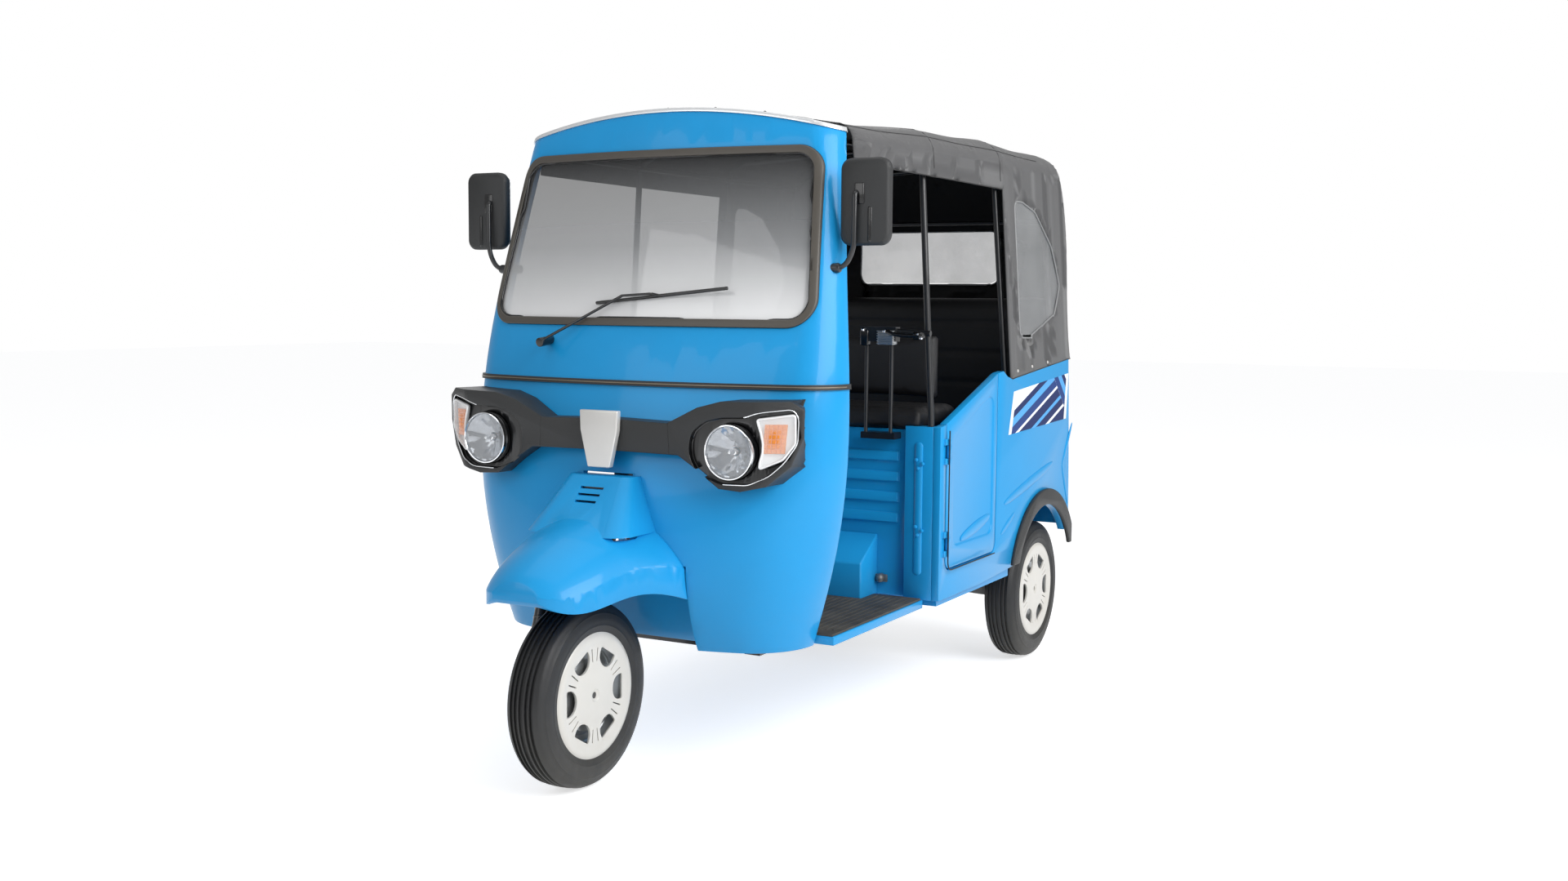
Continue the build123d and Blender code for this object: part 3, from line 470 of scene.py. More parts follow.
def finish_of(name, colour, rough, metal=0.0, mottle=0.12, mottle_scale=14.0, dust=0.0, dust_height=0.6,
              grain=0.0, grain_scale=500.0, **extra):
    """A finish with soft variation, road dust low down and a fine grain, each as strong as given."""
    material = Material(name)
    material.set(Metallic=metal, **extra)
    if isinstance(colour, str):
        colour = linear(colour)
    varied = place_effect(material, "mottle", Color=colour, Roughness=rough, Scale=mottle_scale, Strength=mottle)
    colour_out, rough_out = varied.outputs["Color"], varied.outputs["Roughness"]
    if dust:
        dusty = place_effect(material, "road_dust", Amount=dust, Height=dust_height)
        material.join(colour_out, dusty.inputs["Color"])
        material.join(rough_out, dusty.inputs["Roughness"])
        colour_out, rough_out = dusty.outputs["Color"], dusty.outputs["Roughness"]
    material.join(colour_out, material.shader.inputs["Base Color"])
    material.join(rough_out, material.shader.inputs["Roughness"])
    if grain:
        cells = place_effect(material, "grain", Scale=grain_scale)
        add_bump(material, cells.outputs["Height"], grain)
    return material


# Finishes


def colour_of(name):
    """A colour that the user can change in the sidebar, as RGBA."""
    return (*getattr(bpy.context.scene.rickshaw_colours, name), 1)


def body_paint():
    """Gloss paint with a clear coat, faint waviness and dust near the road."""
    material = finish_of("body_paint", colour_of("paint"), 0.34, mottle=0.05, mottle_scale=5.0, dust=0.14,
                         dust_height=0.62, Coat_Weight=0.2, Coat_Roughness=0.06, Specular_IOR_Level=0.2)
    add_bump(material, noise(material.tree, 420.0, 2.0), 0.0002, 0.08)
    return material


def hood_fabric():
    """Dark grey coated cloth with a fine weave and a dull sheen."""
    material = finish_of("hood_fabric", colour_of("hood"), 0.66, mottle=0.16, mottle_scale=7.0, Sheen_Weight=0.25,
                         Sheen_Roughness=0.5, Specular_IOR_Level=0.35)
    cloth = place_effect(material, "weave", Threads=420.0)
    add_bump(material, cloth.outputs["Height"], 0.0006, 0.35)
    return material


def hood_binding():
    """The darker tape sewn round the cloth's edges."""
    material = finish_of("hood_binding", "242425", 0.6, mottle=0.1)
    cloth = place_effect(material, "weave", Threads=600.0)
    add_bump(material, cloth.outputs["Height"], 0.0005, 0.4)
    return material


def fading(material, low, high, ramp):
    """A colour ramp that runs with the height above the road, from low to high in metres."""
    place = material.nodes.new("ShaderNodeTexCoord")
    split = material.nodes.new("ShaderNodeSeparateXYZ")
    material.join(place.outputs["Object"], split.inputs[0])
    span = material.nodes.new("ShaderNodeMapRange")
    span.inputs["From Min"].default_value = low
    span.inputs["From Max"].default_value = high
    material.join(split.outputs["Z"], span.inputs["Value"])
    colours = material.nodes.new("ShaderNodeValToRGB")
    for i, (at, value) in enumerate(ramp):
        element = colours.color_ramp.elements[i] if i < 2 else colours.color_ramp.elements.new(at)
        element.position = at
        element.color = value
    material.join(span.outputs[0], colours.inputs["Fac"])
    return colours


def window_glass():
    """Windscreen glass whose colour and opacity are a painted reflection: dark at the top, fading to a pale, more
    opaque haze at the foot.
    """
    material = Material("window_glass")
    foot, top = 1.24, 1.74
    # Painted reflection: the glass's colour runs from pale at the foot to dark at the top.
    painted_reflection = fading(material, foot, top, [(0.0, linear("F2F3F4")), (1.0, linear("17181A")), (0.45, linear("9A9C9E"))])
    material.join(painted_reflection.outputs["Color"], material.shader.inputs["Base Color"])
    # Opacity of the painted reflection, highest at the foot.
    painted_reflection_opacity = [(at, (level, level, level, 1)) for at, level in ((0.0, 0.82), (1.0, 0.5), (0.5, 0.62))]
    material.join(fading(material, foot, top, painted_reflection_opacity).outputs["Color"], material.shader.inputs["Alpha"])
    material.set(Roughness=0.04, Coat_Weight=0.4, Coat_Roughness=0.02)
    return material


def clear_film():
    """Soft clear film of the hood's windows, slightly cloudy."""
    material = Material("clear_film")
    cloud = noise(material.tree, 5.0, 4.0, 0.6)
    tone = mix_colour(material.tree, cloud, linear("A4A6A8"), linear("C4C6C8"))
    material.join(tone, material.shader.inputs["Base Color"])
    material.join(maths(material.tree, "MULTIPLY_ADD", cloud, 0.2, 0.24), material.shader.inputs["Alpha"])
    material.set(Roughness=0.12, Coat_Weight=0.3)
    add_bump(material, noise(material.tree, 7.0, 2.0), 0.004, 0.25)
    return material


def lamp_lens():
    """Clear lamp cover, seen mostly by its gloss."""
    material = Material("lamp_lens")
    return material.set(Base_Color=(0.9, 0.92, 0.94, 1), Roughness=0.02, Alpha=0.14, Coat_Weight=1.0,
                        Coat_Roughness=0.01)


def tail_lens():
    """Red tail lamp cover, partly see-through, with a slight mottle."""
    material = Material("tail_lens")
    material.set(Roughness=0.12, Coat_Weight=0.6, Transmission_Weight=0.25)
    varied = place_effect(material, "mottle", Color=linear("B3120F"), Strength=0.06)
    material.join(varied.outputs["Color"], material.shader.inputs["Base Color"])
    return material


def amber_lens():
    """Amber bulb and amber lamp cover."""
    material = Material("amber_lens")
    material.set(Roughness=0.15, Coat_Weight=0.5, Transmission_Weight=0.3, Emission_Strength=0.12,
                 Emission_Color=linear("D87A10"))
    varied = place_effect(material, "mottle", Color=linear("E08A22"), Strength=0.08, Scale=90.0)
    material.join(varied.outputs["Color"], material.shader.inputs["Base Color"])
    return material


def stripes():
    """Film with plain bands of navy, white and light blue that run along the side and lean."""
    material = finish_of("stripes", "0E1A4A", 0.5, mottle=0.02, Specular_IOR_Level=0.15)
    place = material.nodes.new("ShaderNodeTexCoord")
    split = material.nodes.new("ShaderNodeSeparateXYZ")
    material.join(place.outputs["Object"], split.inputs[0])
    tree = material.tree
    lean = maths(tree, "MULTIPLY_ADD", split.outputs["Y"], -0.33, split.outputs["Z"])
    rise = maths(tree, "MULTIPLY_ADD", split.outputs["Y"], 0.9, split.outputs["Z"])
    blend = maths(tree, "GREATER_THAN", rise, 1.99)
    bands = material.nodes.new("ShaderNodeValToRGB")
    bands.color_ramp.interpolation = "CONSTANT"
    steps = [(0.0, "1B2B5E"), (0.12, "F2F5F8"), (0.17, "1B2B5E"), (0.30, "58A6E6"), (0.36, "1B2B5E"), (0.52, "F2F5F8"),
             (0.57, "23407E"), (0.70, "58A6E6"), (0.82, "1B2B5E"), (0.92, "F2F5F8")]
    for i, (at, colour) in enumerate(steps):
        element = bands.color_ramp.elements[i] if i < 2 else bands.color_ramp.elements.new(at)
        element.position, element.color = at, linear(colour)
    low = maths(tree, "MULTIPLY_ADD", lean, 4.2, -2.15)
    high = maths(tree, "MULTIPLY_ADD", rise, 3.1, -5.6)
    span = material.nodes.new("ShaderNodeMix")
    material.join(blend, span.inputs["Factor"])
    material.join(low, span.inputs["A"])
    material.join(high, span.inputs["B"])
    material.join(span.outputs["Result"], bands.inputs["Fac"])
    material.join(bands.outputs["Color"], material.shader.inputs["Base Color"])
    return material


# Plain finishes, each with the values of finish_of
PLAIN = {
    # Moulded dark grey plastic with a fine grain
    "trim_plastic": dict(colour="2C2D2E", rough=0.46, grain=0.0004, grain_scale=900.0, mottle=0.08, dust=0.15,
                         Specular_IOR_Level=0.4),
    # Smooth black enamel on the recessed bowls and the wiper
    "gloss_black": dict(colour="0D0E10", rough=0.22, mottle=0.04, Coat_Weight=0.3),
    # The windscreen's black rubber seal
    "seal_rubber": dict(colour="141517", rough=0.5, grain=0.0002, grain_scale=700.0),
    # Black rubber, greyer where it is dusty
    "tyre_rubber": dict(colour="161719", rough=0.52, mottle=0.25, mottle_scale=24.0, dust=0.22, dust_height=0.3,
                        grain=0.0004, grain_scale=420.0),
    # Satin black enamel on tubes and brackets
    "black_steel": dict(colour="15171A", rough=0.36, mottle=0.1, dust=0.3, dust_height=0.5, Coat_Weight=0.25),
    # Bright grey pressed steel
    "rim_steel": dict(colour="B9BCBE", rough=0.28, metal=0.85, mottle=0.1, dust=0.12, dust_height=0.4),
    # Warm light grey lacquered plastic of the wheel covers
    "cover_plastic": dict(colour="D2CFC8", rough=0.36, mottle=0.05, dust=0.12, dust_height=0.35, Coat_Weight=0.35,
                          Coat_Roughness=0.15),
    # Silver lacquer
    "badge_metal": dict(colour="D4D2CE", rough=0.3, metal=0.35, mottle=0.04, Coat_Weight=0.4),
    # Polished reflector metal
    "chrome": dict(colour="E9EBEE", rough=0.07, metal=1.0, mottle=0.05),
    # Brushed pale aluminium of the strip along the roof's edge
    "roof_strip": dict(colour="E4E6E8", rough=0.3, metal=0.55, mottle=0.06),
    # Ribbed black floor mat
    "mat_rubber": dict(colour="1D1E20", rough=0.62, mottle=0.2, dust=0.6, dust_height=0.9, grain=0.0004),
    # Black grained seat vinyl
    "seat_cover": dict(colour="1A1A1C", rough=0.48, mottle=0.1, grain=0.0009, grain_scale=420.0,
                       Specular_IOR_Level=0.45),
    # Cast grey metal, oily in places
    "engine_metal": dict(colour="7B7D7E", rough=0.45, metal=0.7, mottle=0.3, mottle_scale=22.0, dust=0.5,
                         dust_height=0.8, grain=0.0005, grain_scale=260.0),
    # Bare reflective plate
    "plate_metal": dict(colour="E8E6DC", rough=0.35, mottle=0.03, Coat_Weight=0.3),
    # Silvered glass
    "mirror_glass": dict(colour="DDE2E6", rough=0.03, metal=1.0, mottle=0.02),
    # Bright but slightly smoky metal of the headlamps' dishes
    "reflector": dict(colour="A4A8AD", rough=0.06, metal=1.0, mottle=0.35, mottle_scale=60.0),
    # Bright lacquered inside of the indicators
    "lamp_white": dict(colour="EDEEEF", rough=0.16, metal=0.25, mottle=0.03, Coat_Weight=0.5),
    # The dull grey-brown metal line along the belt moulding, coloured as a painted highlight
    "belt_painted_highlight": dict(colour="7D7466", rough=0.3, metal=0.5, mottle=0.08),
    # The wide outer lip of the windscreen's seal, greyer than the rest
    "seal_lip": dict(colour="4A4640", rough=0.42, mottle=0.12, mottle_scale=9.0),
    # White film of the stripes' borders
    "stripe_white": dict(colour="E9EDF0", rough=0.5, mottle=0.02),
    # The cloth's inner face, near-black: painted shade inside the hood
    "hood_lining_painted_shade": dict(colour="1B1B1C", rough=0.8, mottle=0.1, Specular_IOR_Level=0.25),
    # Grey welt sewn round the hood's windows
    "hood_piping": dict(colour="8A8B8C", rough=0.55, mottle=0.06),
}

MAKERS = {maker.__name__: maker for maker in (
    body_paint, hood_fabric, hood_binding, window_glass, clear_film, lamp_lens, tail_lens, amber_lens, stripes)}
MADE = {}


def finish(name):
    """The material of a finish, made once."""
    if name not in MADE:
        MADE[name] = finish_of(name, **PLAIN[name]) if name in PLAIN else MAKERS[name]()
    return MADE[name]


# What a user can change in the sidebar


class RickshawColours(bpy.types.PropertyGroup):
    """Colours of the paint and the cloth."""

    paint: bpy.props.FloatVectorProperty(
        name="Paint", description="Body colour", subtype="COLOR", size=3, min=0, max=1, default=linear("1A95D4")[:3])
    hood: bpy.props.FloatVectorProperty(
        name="Hood", description="Colour of the hood's cloth", subtype="COLOR", size=3, min=0, max=1,
        default=linear("4A4A4B")[:3])


class RickshawSizes(bpy.types.PropertyGroup):
    """Sizes of the moulded detail: the depth of the tyres' grooves."""

    groove_depth: bpy.props.FloatProperty(
        name="Groove depth", description="Depth of the tyres' grooves", unit="LENGTH", default=0.006, min=0.001,
        max=0.01)


class RickshawStage(bpy.types.PropertyGroup):
    """Camera and light."""

    lens: bpy.props.FloatProperty(
        name="Lens", description="Focal length on a 36 mm sensor", default=35.63, min=10, max=200)
    place: bpy.props.FloatVectorProperty(
        name="Camera place", description="Where the camera stands", subtype="TRANSLATION", unit="LENGTH", size=3,
        default=(2.440, -4.418, 1.315))
    turn: bpy.props.FloatVectorProperty(
        name="Camera turn", description="Yaw, pitch and roll", subtype="EULER", size=3,
        default=(radians(28.43), radians(-5.17), radians(0.44)))
    sky: bpy.props.FloatProperty(
        name="Room light", description="Strength of the light from all round", default=0.44, min=0, max=5)
    key: bpy.props.FloatProperty(
        name="Key light", description="Power of the large light at the left", unit="POWER", default=250, min=0)
    fill: bpy.props.FloatProperty(
        name="Fill light", description="Power of the large light in front", unit="POWER", default=50, min=0)


class RICKSHAW_OT_stage(bpy.types.Operator):
    """Sets up the pale floor, the soft studio light and the camera"""

    bl_idname = "rickshaw.stage"
    bl_label = "Stage"

    def execute(self, context):
        settings = context.scene.rickshaw_stage
        self.floor()
        self.room(context.scene, settings.sky)
        middle = Vector((0, 0, 0.9))
        # name, place, width, height, power
        lights = [
            ("key_light", (4.6, -1.2, 3.2), 4.0, 3.0, settings.key),
            ("front_light", (-1.6, -5.6, 3.0), 3.4, 2.6, settings.fill),
            ("top_light", (0.0, -0.4, 5.2), 4.5, 4.5, settings.fill),
            ("rim_light", (-3.6, 3.4, 3.0), 2.5, 2.5, settings.fill * 0.6),
        ]
        for name, place, width, height, power in lights:
            lamp = bpy.data.lights.new(name, "AREA")
            lamp.shape = "RECTANGLE"
            lamp.size, lamp.size_y, lamp.energy = width, height, power
            holder = bpy.data.objects.new(name, lamp)
            context.scene.collection.objects.link(holder)
            holder.location = place
            holder.rotation_euler = (middle - Vector(place)).to_track_quat("-Z", "Y").to_euler()
        self.camera(context.scene, settings)
        context.scene.view_settings.view_transform = "Standard"
        return {"FINISHED"}

    def floor(self):
        deselect()
        bpy.ops.mesh.primitive_plane_add(size=60)
        ground = bpy.context.object
        ground.name = "studio_floor"
        material = Material("studio_floor")
        material.set(Base_Color=linear("E6E7E9"), Roughness=0.9)
        rays = material.nodes.new("ShaderNodeLightPath")
        seen = maths(material.tree, "MAXIMUM", rays.outputs["Is Camera Ray"], rays.outputs["Is Glossy Ray"])
        seen = maths(material.tree, "MAXIMUM", seen, rays.outputs["Is Transmission Ray"])
        glow = material.nodes.new("ShaderNodeEmission")
        material.join(maths(material.tree, "MULTIPLY", seen, 0.62), glow.inputs["Strength"])
        both = material.nodes.new("ShaderNodeAddShader")
        material.join(material.shader.outputs[0], both.inputs[0])
        material.join(glow.outputs[0], both.inputs[1])
        material.join(both.outputs[0], material.output.inputs["Surface"])
        ground.data.materials.append(material.data)

    def room(self, scene, strength):
        scene.world = bpy.data.worlds.new("room")
        scene.world.use_nodes = True
        tree = scene.world.node_tree
        background = tree.nodes["Background"]
        rays = tree.nodes.new("ShaderNodeLightPath")
        seen = maths(tree, "MAXIMUM", rays.outputs["Is Camera Ray"], rays.outputs["Is Transmission Ray"])
        tree.links.new(maths(tree, "MULTIPLY_ADD", seen, 1.0 - strength, strength), background.inputs["Strength"])
        background.inputs["Color"].default_value = (1, 1, 1, 1)

    def camera(self, scene, settings):
        yaw, pitch, roll = settings.turn
        ahead = Vector((-sin(yaw) * cos(pitch), cos(yaw) * cos(pitch), sin(pitch)))
        right = Vector((cos(yaw), sin(yaw), 0))
        up = right.cross(ahead)
        across = right * cos(roll) + up * sin(roll)
        upright = up * cos(roll) - right * sin(roll)
        camera = bpy.data.objects.new("camera", bpy.data.cameras.new("camera"))
        camera.data.lens = settings.lens
        camera.data.sensor_width = 36
        turned = Matrix((across, upright, -ahead)).transposed().to_4x4()
        camera.matrix_world = Matrix.Translation(settings.place) @ turned
        scene.collection.objects.link(camera)
        scene.camera = camera


class RICKSHAW_OT_cad_finishes(bpy.types.Operator):
    """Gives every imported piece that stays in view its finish"""

    bl_idname = "rickshaw.cad_finishes"
    bl_label = "Finishes of the packed pieces"

    OWN = {"lamp_chrome": "chrome", "flare_plastic": "trim_plastic"}

    def execute(self, context):
        slots = {row["node"]: row["material_slot"] for row in frame["record"]["subparts"]}
        for name, piece in frame["nodes"].items():
            slot = slots[name]
            piece.data.materials.clear()
            piece.data.materials.append(finish(self.OWN.get(slot, slot)).data)
        return {"FINISHED"}


# Wheels

# start of the pieces' names, body, side that the cover faces
WHEELS = (("front", "front_wheel", 1), ("rear_left", "rear_wheel_left", 1), ("rear_right", "rear_wheel_right", -1))


def wheel_middle(name):
    """The centre of a wheel, from its packed tyre."""
    low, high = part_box(f"{name}_tyre")
    return (low + high) / 2


class RICKSHAW_OT_tyres(bpy.types.Operator):
    """Moulds the three tyres with ribs, shoulder sipes and sidewall rings"""

    bl_idname = "rickshaw.tyres"
    bl_label = "Tyres"

    def execute(self, context):
        sizes = context.scene.rickshaw_sizes
        for name, body, side in WHEELS:
            tyre = lathe(f"{name}_ribbed_tyre", self.section(sizes.groove_depth), wheel_middle(name), steps=120)
            self.cut_sipes(tyre, wheel_middle(name))
            settle(tyre, "tyre_rubber", "tyre_rubber", f"{name}_tyre", body=body)
        return {"FINISHED"}

    def section(self, depth):
        """The tyre's section as (from the middle, radius) points, one half mirrored to the other."""
        crown = 254 * MM
        half = [(0, crown - depth), (4 * MM, crown - depth), (5.5 * MM, crown)]
        # middles of the grooves beside the centre one, half width of each
        for middle, width in ((17 * MM, 2.5 * MM), (31 * MM, 2.5 * MM)):
            drop = 5.5 * MM * (middle / (48 * MM)) ** 2
            half += [(middle - width - 1.5 * MM, crown - drop), (middle - width, crown - drop - depth),
                     (middle + width, crown - drop - depth), (middle + width + 1.5 * MM, crown - drop)]
        half += [(47 * MM, crown - 7 * MM), (53 * MM, crown - 12 * MM), (57 * MM, crown - 22 * MM),
                 (60 * MM, crown - 30 * MM), (61.5 * MM, crown - 31.5 * MM), (62 * MM, crown - 36 * MM),
                 (64 * MM, crown - 42 * MM), (64.6 * MM, crown - 56 * MM), (63.5 * MM, crown - 64 * MM),
                 (64 * MM, crown - 65.5 * MM), (63 * MM, crown - 68 * MM), (60 * MM, crown - 80 * MM),
                 (55 * MM, crown - 91 * MM), (54 * MM, crown - 93 * MM), (53.5 * MM, crown - 97 * MM),
                 (49 * MM, crown - 101 * MM), (46 * MM, crown - 101 * MM)]
        return half + [(-along, radius) for along, radius in reversed(half[1:])]

    def cut_sipes(self, tyre, middle):
        """Sinks every third face of the two shoulders."""
        choose(tyre)
        for polygon in tyre.data.polygons:
            place = polygon.center - middle
            radius = sqrt(place.y ** 2 + place.z ** 2)
            step = round((0.5 + atan2(place.y, place.z) / (2 * pi)) * 120 - 0.5)
            outer = 47 * MM < abs(place.x) < 57 * MM or 35 * MM < abs(place.x) < 47 * MM
            polygon.select = outer and radius > 232 * MM and step % 3 == 0
        bpy.ops.object.mode_set(mode="EDIT")
        bpy.ops.mesh.inset(thickness=0.8 * MM, use_individual=False)
        bpy.ops.transform.shrink_fatten(value=-2.6 * MM)
        bpy.ops.object.mode_set(mode="OBJECT")


class RICKSHAW_OT_wheel_covers(bpy.types.Operator):
    """Moulds the wheel covers with six half-moon windows and paired slots between them"""

    bl_idname = "rickshaw.wheel_covers"
    bl_label = "Wheel covers"

    def execute(self, context):
        for name, body, side in WHEELS:
            cover = self.disc(f"{name}_dished_cover", wheel_middle(name), side)
            settle(cover, "cover_plastic", "cover_plastic", f"{name}_cover", body=body)
        return {"FINISHED"}

    def disc(self, name, middle, side):
        # from the wheel's middle outwards, radius
        face = [(50, 9), (52, 9), (53, 14), (56, 18), (56.5, 60), (55, 74), (54, 96), (54.5, 128), (57, 140), (59, 148),
                (60, 158), (58, 168), (52, 174)]
        back = [(48, 172), (52, 160), (53, 148), (51, 136), (48, 120), (48, 60), (49, 20), (44, 12), (44, 9)]
        section = [(side * along * MM, radius * MM) for along, radius in face + back]
        disc = lathe(name, section, middle, steps=96)
        tools = []
        for i in range(6):
            tools.append(self.window(middle, side, i * pi / 3))
            for offset in (-9, 9):
                tools.append(self.slot(middle, side, (i + 0.5) * pi / 3, offset))
        cutter = join("cutter", tools)
        cut(disc, cutter)
        apply_modifier(disc, "BEVEL", width=1.6 * MM, segments=2, limit_method="ANGLE", angle_limit=radians(50))
        return smooth(disc, 40)

    def window(self, middle, side, angle):
        """A half moon: a chord across the spoke ring and an arc that bulges to the hub."""
        outline = [(126, -36), (126, 36)]
        outline += [(126 - 44 * sin(t * pi / 10) ** 0.7, 36 * cos(t * pi / 10)) for t in range(1, 10)]
        return self.prism(rounded_outline(outline, 7, 3), middle, side, angle)

    def slot(self, middle, side, angle, offset):
        outline = [(92, offset - 1.6), (128, offset * 1.5 - 1.8), (128, offset * 1.5 + 1.8), (92, offset + 1.6)]
        return self.prism(outline, middle, side, angle)

    def prism(self, outline, middle, side, angle):
        """An outline of (radial, across) points in millimetres, turned and pushed through the disc."""
        turned = [(middle.y + (u * cos(angle) - v * sin(angle)) * MM, middle.z + (u * sin(angle) + v * cos(angle)) * MM)
                  for u, v in outline]
        return plate("tool", turned, 40 * MM, "X", middle.x + side * 50 * MM - 20 * MM)


class RICKSHAW_OT_rims(bpy.types.Operator):
    """Presses the steel rims behind the covers, with a hub and wheel nuts"""

    bl_idname = "rickshaw.rims"
    bl_label = "Rims"

    # across the wheel, radius
    SECTION = ((46, 158), (50, 160), (50, 156), (44, 148), (30, 146), (20, 128), (-20, 128), (-30, 146), (-44, 148),
               (-50, 156), (-50, 160), (-46, 158), (-34, 151), (-22, 136), (8, 134), (10, 108), (26, 96), (30, 60),
               (30, 30), (34, 30), (35, 62), (31, 99), (16, 112), (14, 134), (22, 136), (34, 151))

    def execute(self, context):
        for name, body, side in WHEELS:
            middle = wheel_middle(name)
            rim = lathe(f"{name}_pressed_rim", [(side * x * MM, r * MM) for x, r in self.SECTION], middle, steps=72)
            nuts = []
            for i in range(4):
                angle = i * pi / 2 + pi / 4
                place = middle + Vector((side * 34 * MM, 46 * MM * cos(angle), 46 * MM * sin(angle)))
                nut = lathe("nut", [(0, 0.001), (0, 11 * MM), (side * 9 * MM, 10 * MM), (side * 11 * MM, 7 * MM),
                                    (side * 11 * MM, 0.001)], place, steps=6, closed=False)
                nuts.append(nut)
            hub = lathe("hub", [(side * 30 * MM, 0.001), (side * 30 * MM, 33 * MM), (side * 42 * MM, 30 * MM),
                                (side * 45 * MM, 12 * MM), (side * 45 * MM, 0.001)], middle, steps=36, closed=False)
            fittings = join(f"{name}_hub_and_nuts", [hub, *nuts])
            settle(smooth(fittings, 30), "black_steel", "rim_steel", body=body)
            settle(rim, "rim_steel", "rim_steel", body=body)
        return {"FINISHED"}


# Bodywork


def body_of(node):
    """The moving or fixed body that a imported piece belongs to."""
    return next(body for body, nodes in frame["record"]["behaviour"]["bodies"].items() if node in nodes)


def softened(node, width, segments=3, angle=38, name=None, finishes=(), cutters=()):
    """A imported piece's own form, with cutters taken out of it and its sharp edges rounded."""
    piece = dressed_copy(node, 180)
    with editing(piece):
        bpy.ops.mesh.dissolve_limited(angle_limit=radians(0.6))
    if finishes:
        piece.data.materials.clear()
        for finish_name in finishes:
            piece.data.materials.append(finish(finish_name).data)
    for tool in cutters:
        cut(piece, tool)
    form = [list(vertex.co) for vertex in piece.data.vertices]
    low = Vector([min(place[i] for place in form) - 0.003 for i in range(3)])
    high = Vector([max(place[i] for place in form) + 0.003 for i in range(3)])
    apply_modifier(piece, "BEVEL", width=width, segments=segments, limit_method="ANGLE", angle_limit=radians(angle),
                   use_clamp_overlap=False)
    for vertex in piece.data.vertices:
        for i in range(3):
            vertex.co[i] = max(low[i], min(high[i], vertex.co[i]))
    piece.name = name or f"{node}_pressed"
    return smooth(piece, angle)


def pick(piece, test):
    """Enters edit mode with only the faces selected that pass a test."""
    choose(piece)
    bpy.ops.object.mode_set(mode="EDIT")
    bpy.ops.mesh.select_mode(type="FACE")
    bpy.ops.mesh.select_all(action="DESELECT")
    bpy.ops.object.mode_set(mode="OBJECT")
    for polygon in piece.data.polygons:
        polygon.select = bool(test(polygon))
    bpy.ops.object.mode_set(mode="EDIT")


def pressed_rib(name, start, end, outward, width, height, taper=0.35):
    """A swelling in a panel, long and rounded, half sunk in it, with round ends where taper is none."""
    start, end, outward = Vector(start), Vector(end), Vector(outward)
    length = (end - start).length
    if taper:
        profile = [(length * t, width / 2 * max(0.0, sin(pi * t)) ** taper)
                   for t in (0, 0.01, 0.03, 0.07, 0.13, 0.22, 0.35, 0.5, 0.65, 0.78, 0.87, 0.93, 0.97, 0.99, 1)]
    else:
        cap = [(width / 2 * (1 - cos(i * pi / 12)), width / 2 * sin(i * pi / 12)) for i in range(7)]
        profile = cap + [(length - along, radius) for along, radius in reversed(cap)]
    piece = lathe(name, profile, (0, 0, 0), "Z", steps=24, closed=False)
    along = (end - start).normalized()
    up = (outward - along * outward.dot(along)).normalized()
    turned = Matrix((up, along.cross(up), along)).transposed().to_4x4()
    piece.data.transform(Matrix.Translation(start) @ turned @ Matrix.Diagonal((2 * height / width, 1, 1, 1)))
    return piece


def stud(name, place, outward, radius, height, steps=20):
    """A domed head of a bolt, rivet or snap."""
    profile = [(-0.3 * height, 0), (-0.3 * height, radius), (0.3 * height, radius), (0.7 * height, 0.85 * radius),
               (0.93 * height, 0.5 * radius), (height, 0)]
    piece = lathe(name, profile, (0, 0, 0), "Z", steps=steps, closed=False)
    turned = Vector(outward).to_track_quat("Z", "Y").to_matrix().to_4x4()
    piece.data.transform(Matrix.Translation(place) @ turned)
    return piece


def onto(target, place, direction, lift=0.0):
    """Where a line from a place meets a piece, raised off it by lift, and the surface's direction there."""
    found, point, normal, face = target.ray_cast(Vector(place), Vector(direction).normalized())
    if not found:
        raise RuntimeError(f"nothing of {target.name} lies ahead of {tuple(place)}")
    return point - Vector(direction).normalized() * lift, normal


class RICKSHAW_OT_body_panels(bpy.types.Operator):
    """Rounds the pressed edges of the body's panels"""

    bl_idname = "rickshaw.body_panels"
    bl_label = "Body panels"

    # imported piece, radius of its edges in millimetres
    PANELS = (
        ("front_cowl", 1.6), ("front_fender", 0.5), ("wheel_well", 1.5), ("seat_box", 3), ("floor_box", 6),
        ("floor_pan", 2), ("side_panel_left", 1.6), ("side_panel_right", 1.6), ("side_door_left", 2.2),
        ("side_door_right", 2.2),
        ("tail_panel", 1.8), ("engine_lid", 1.8), ("passenger_bench", 3), ("arch_flares", 4), ("number_plate", 0.6),
        ("floor_mat", 1.2),
    )

    def execute(self, context):
        for node, edge in self.PANELS:
            slot = next(row["material_slot"] for row in frame["record"]["subparts"] if row["node"] == node)
            own = RICKSHAW_OT_cad_finishes.OWN.get(slot, slot)
            settle(softened(node, edge * MM, 2), own, slot, node, body=body_of(node))
        return {"FINISHED"}


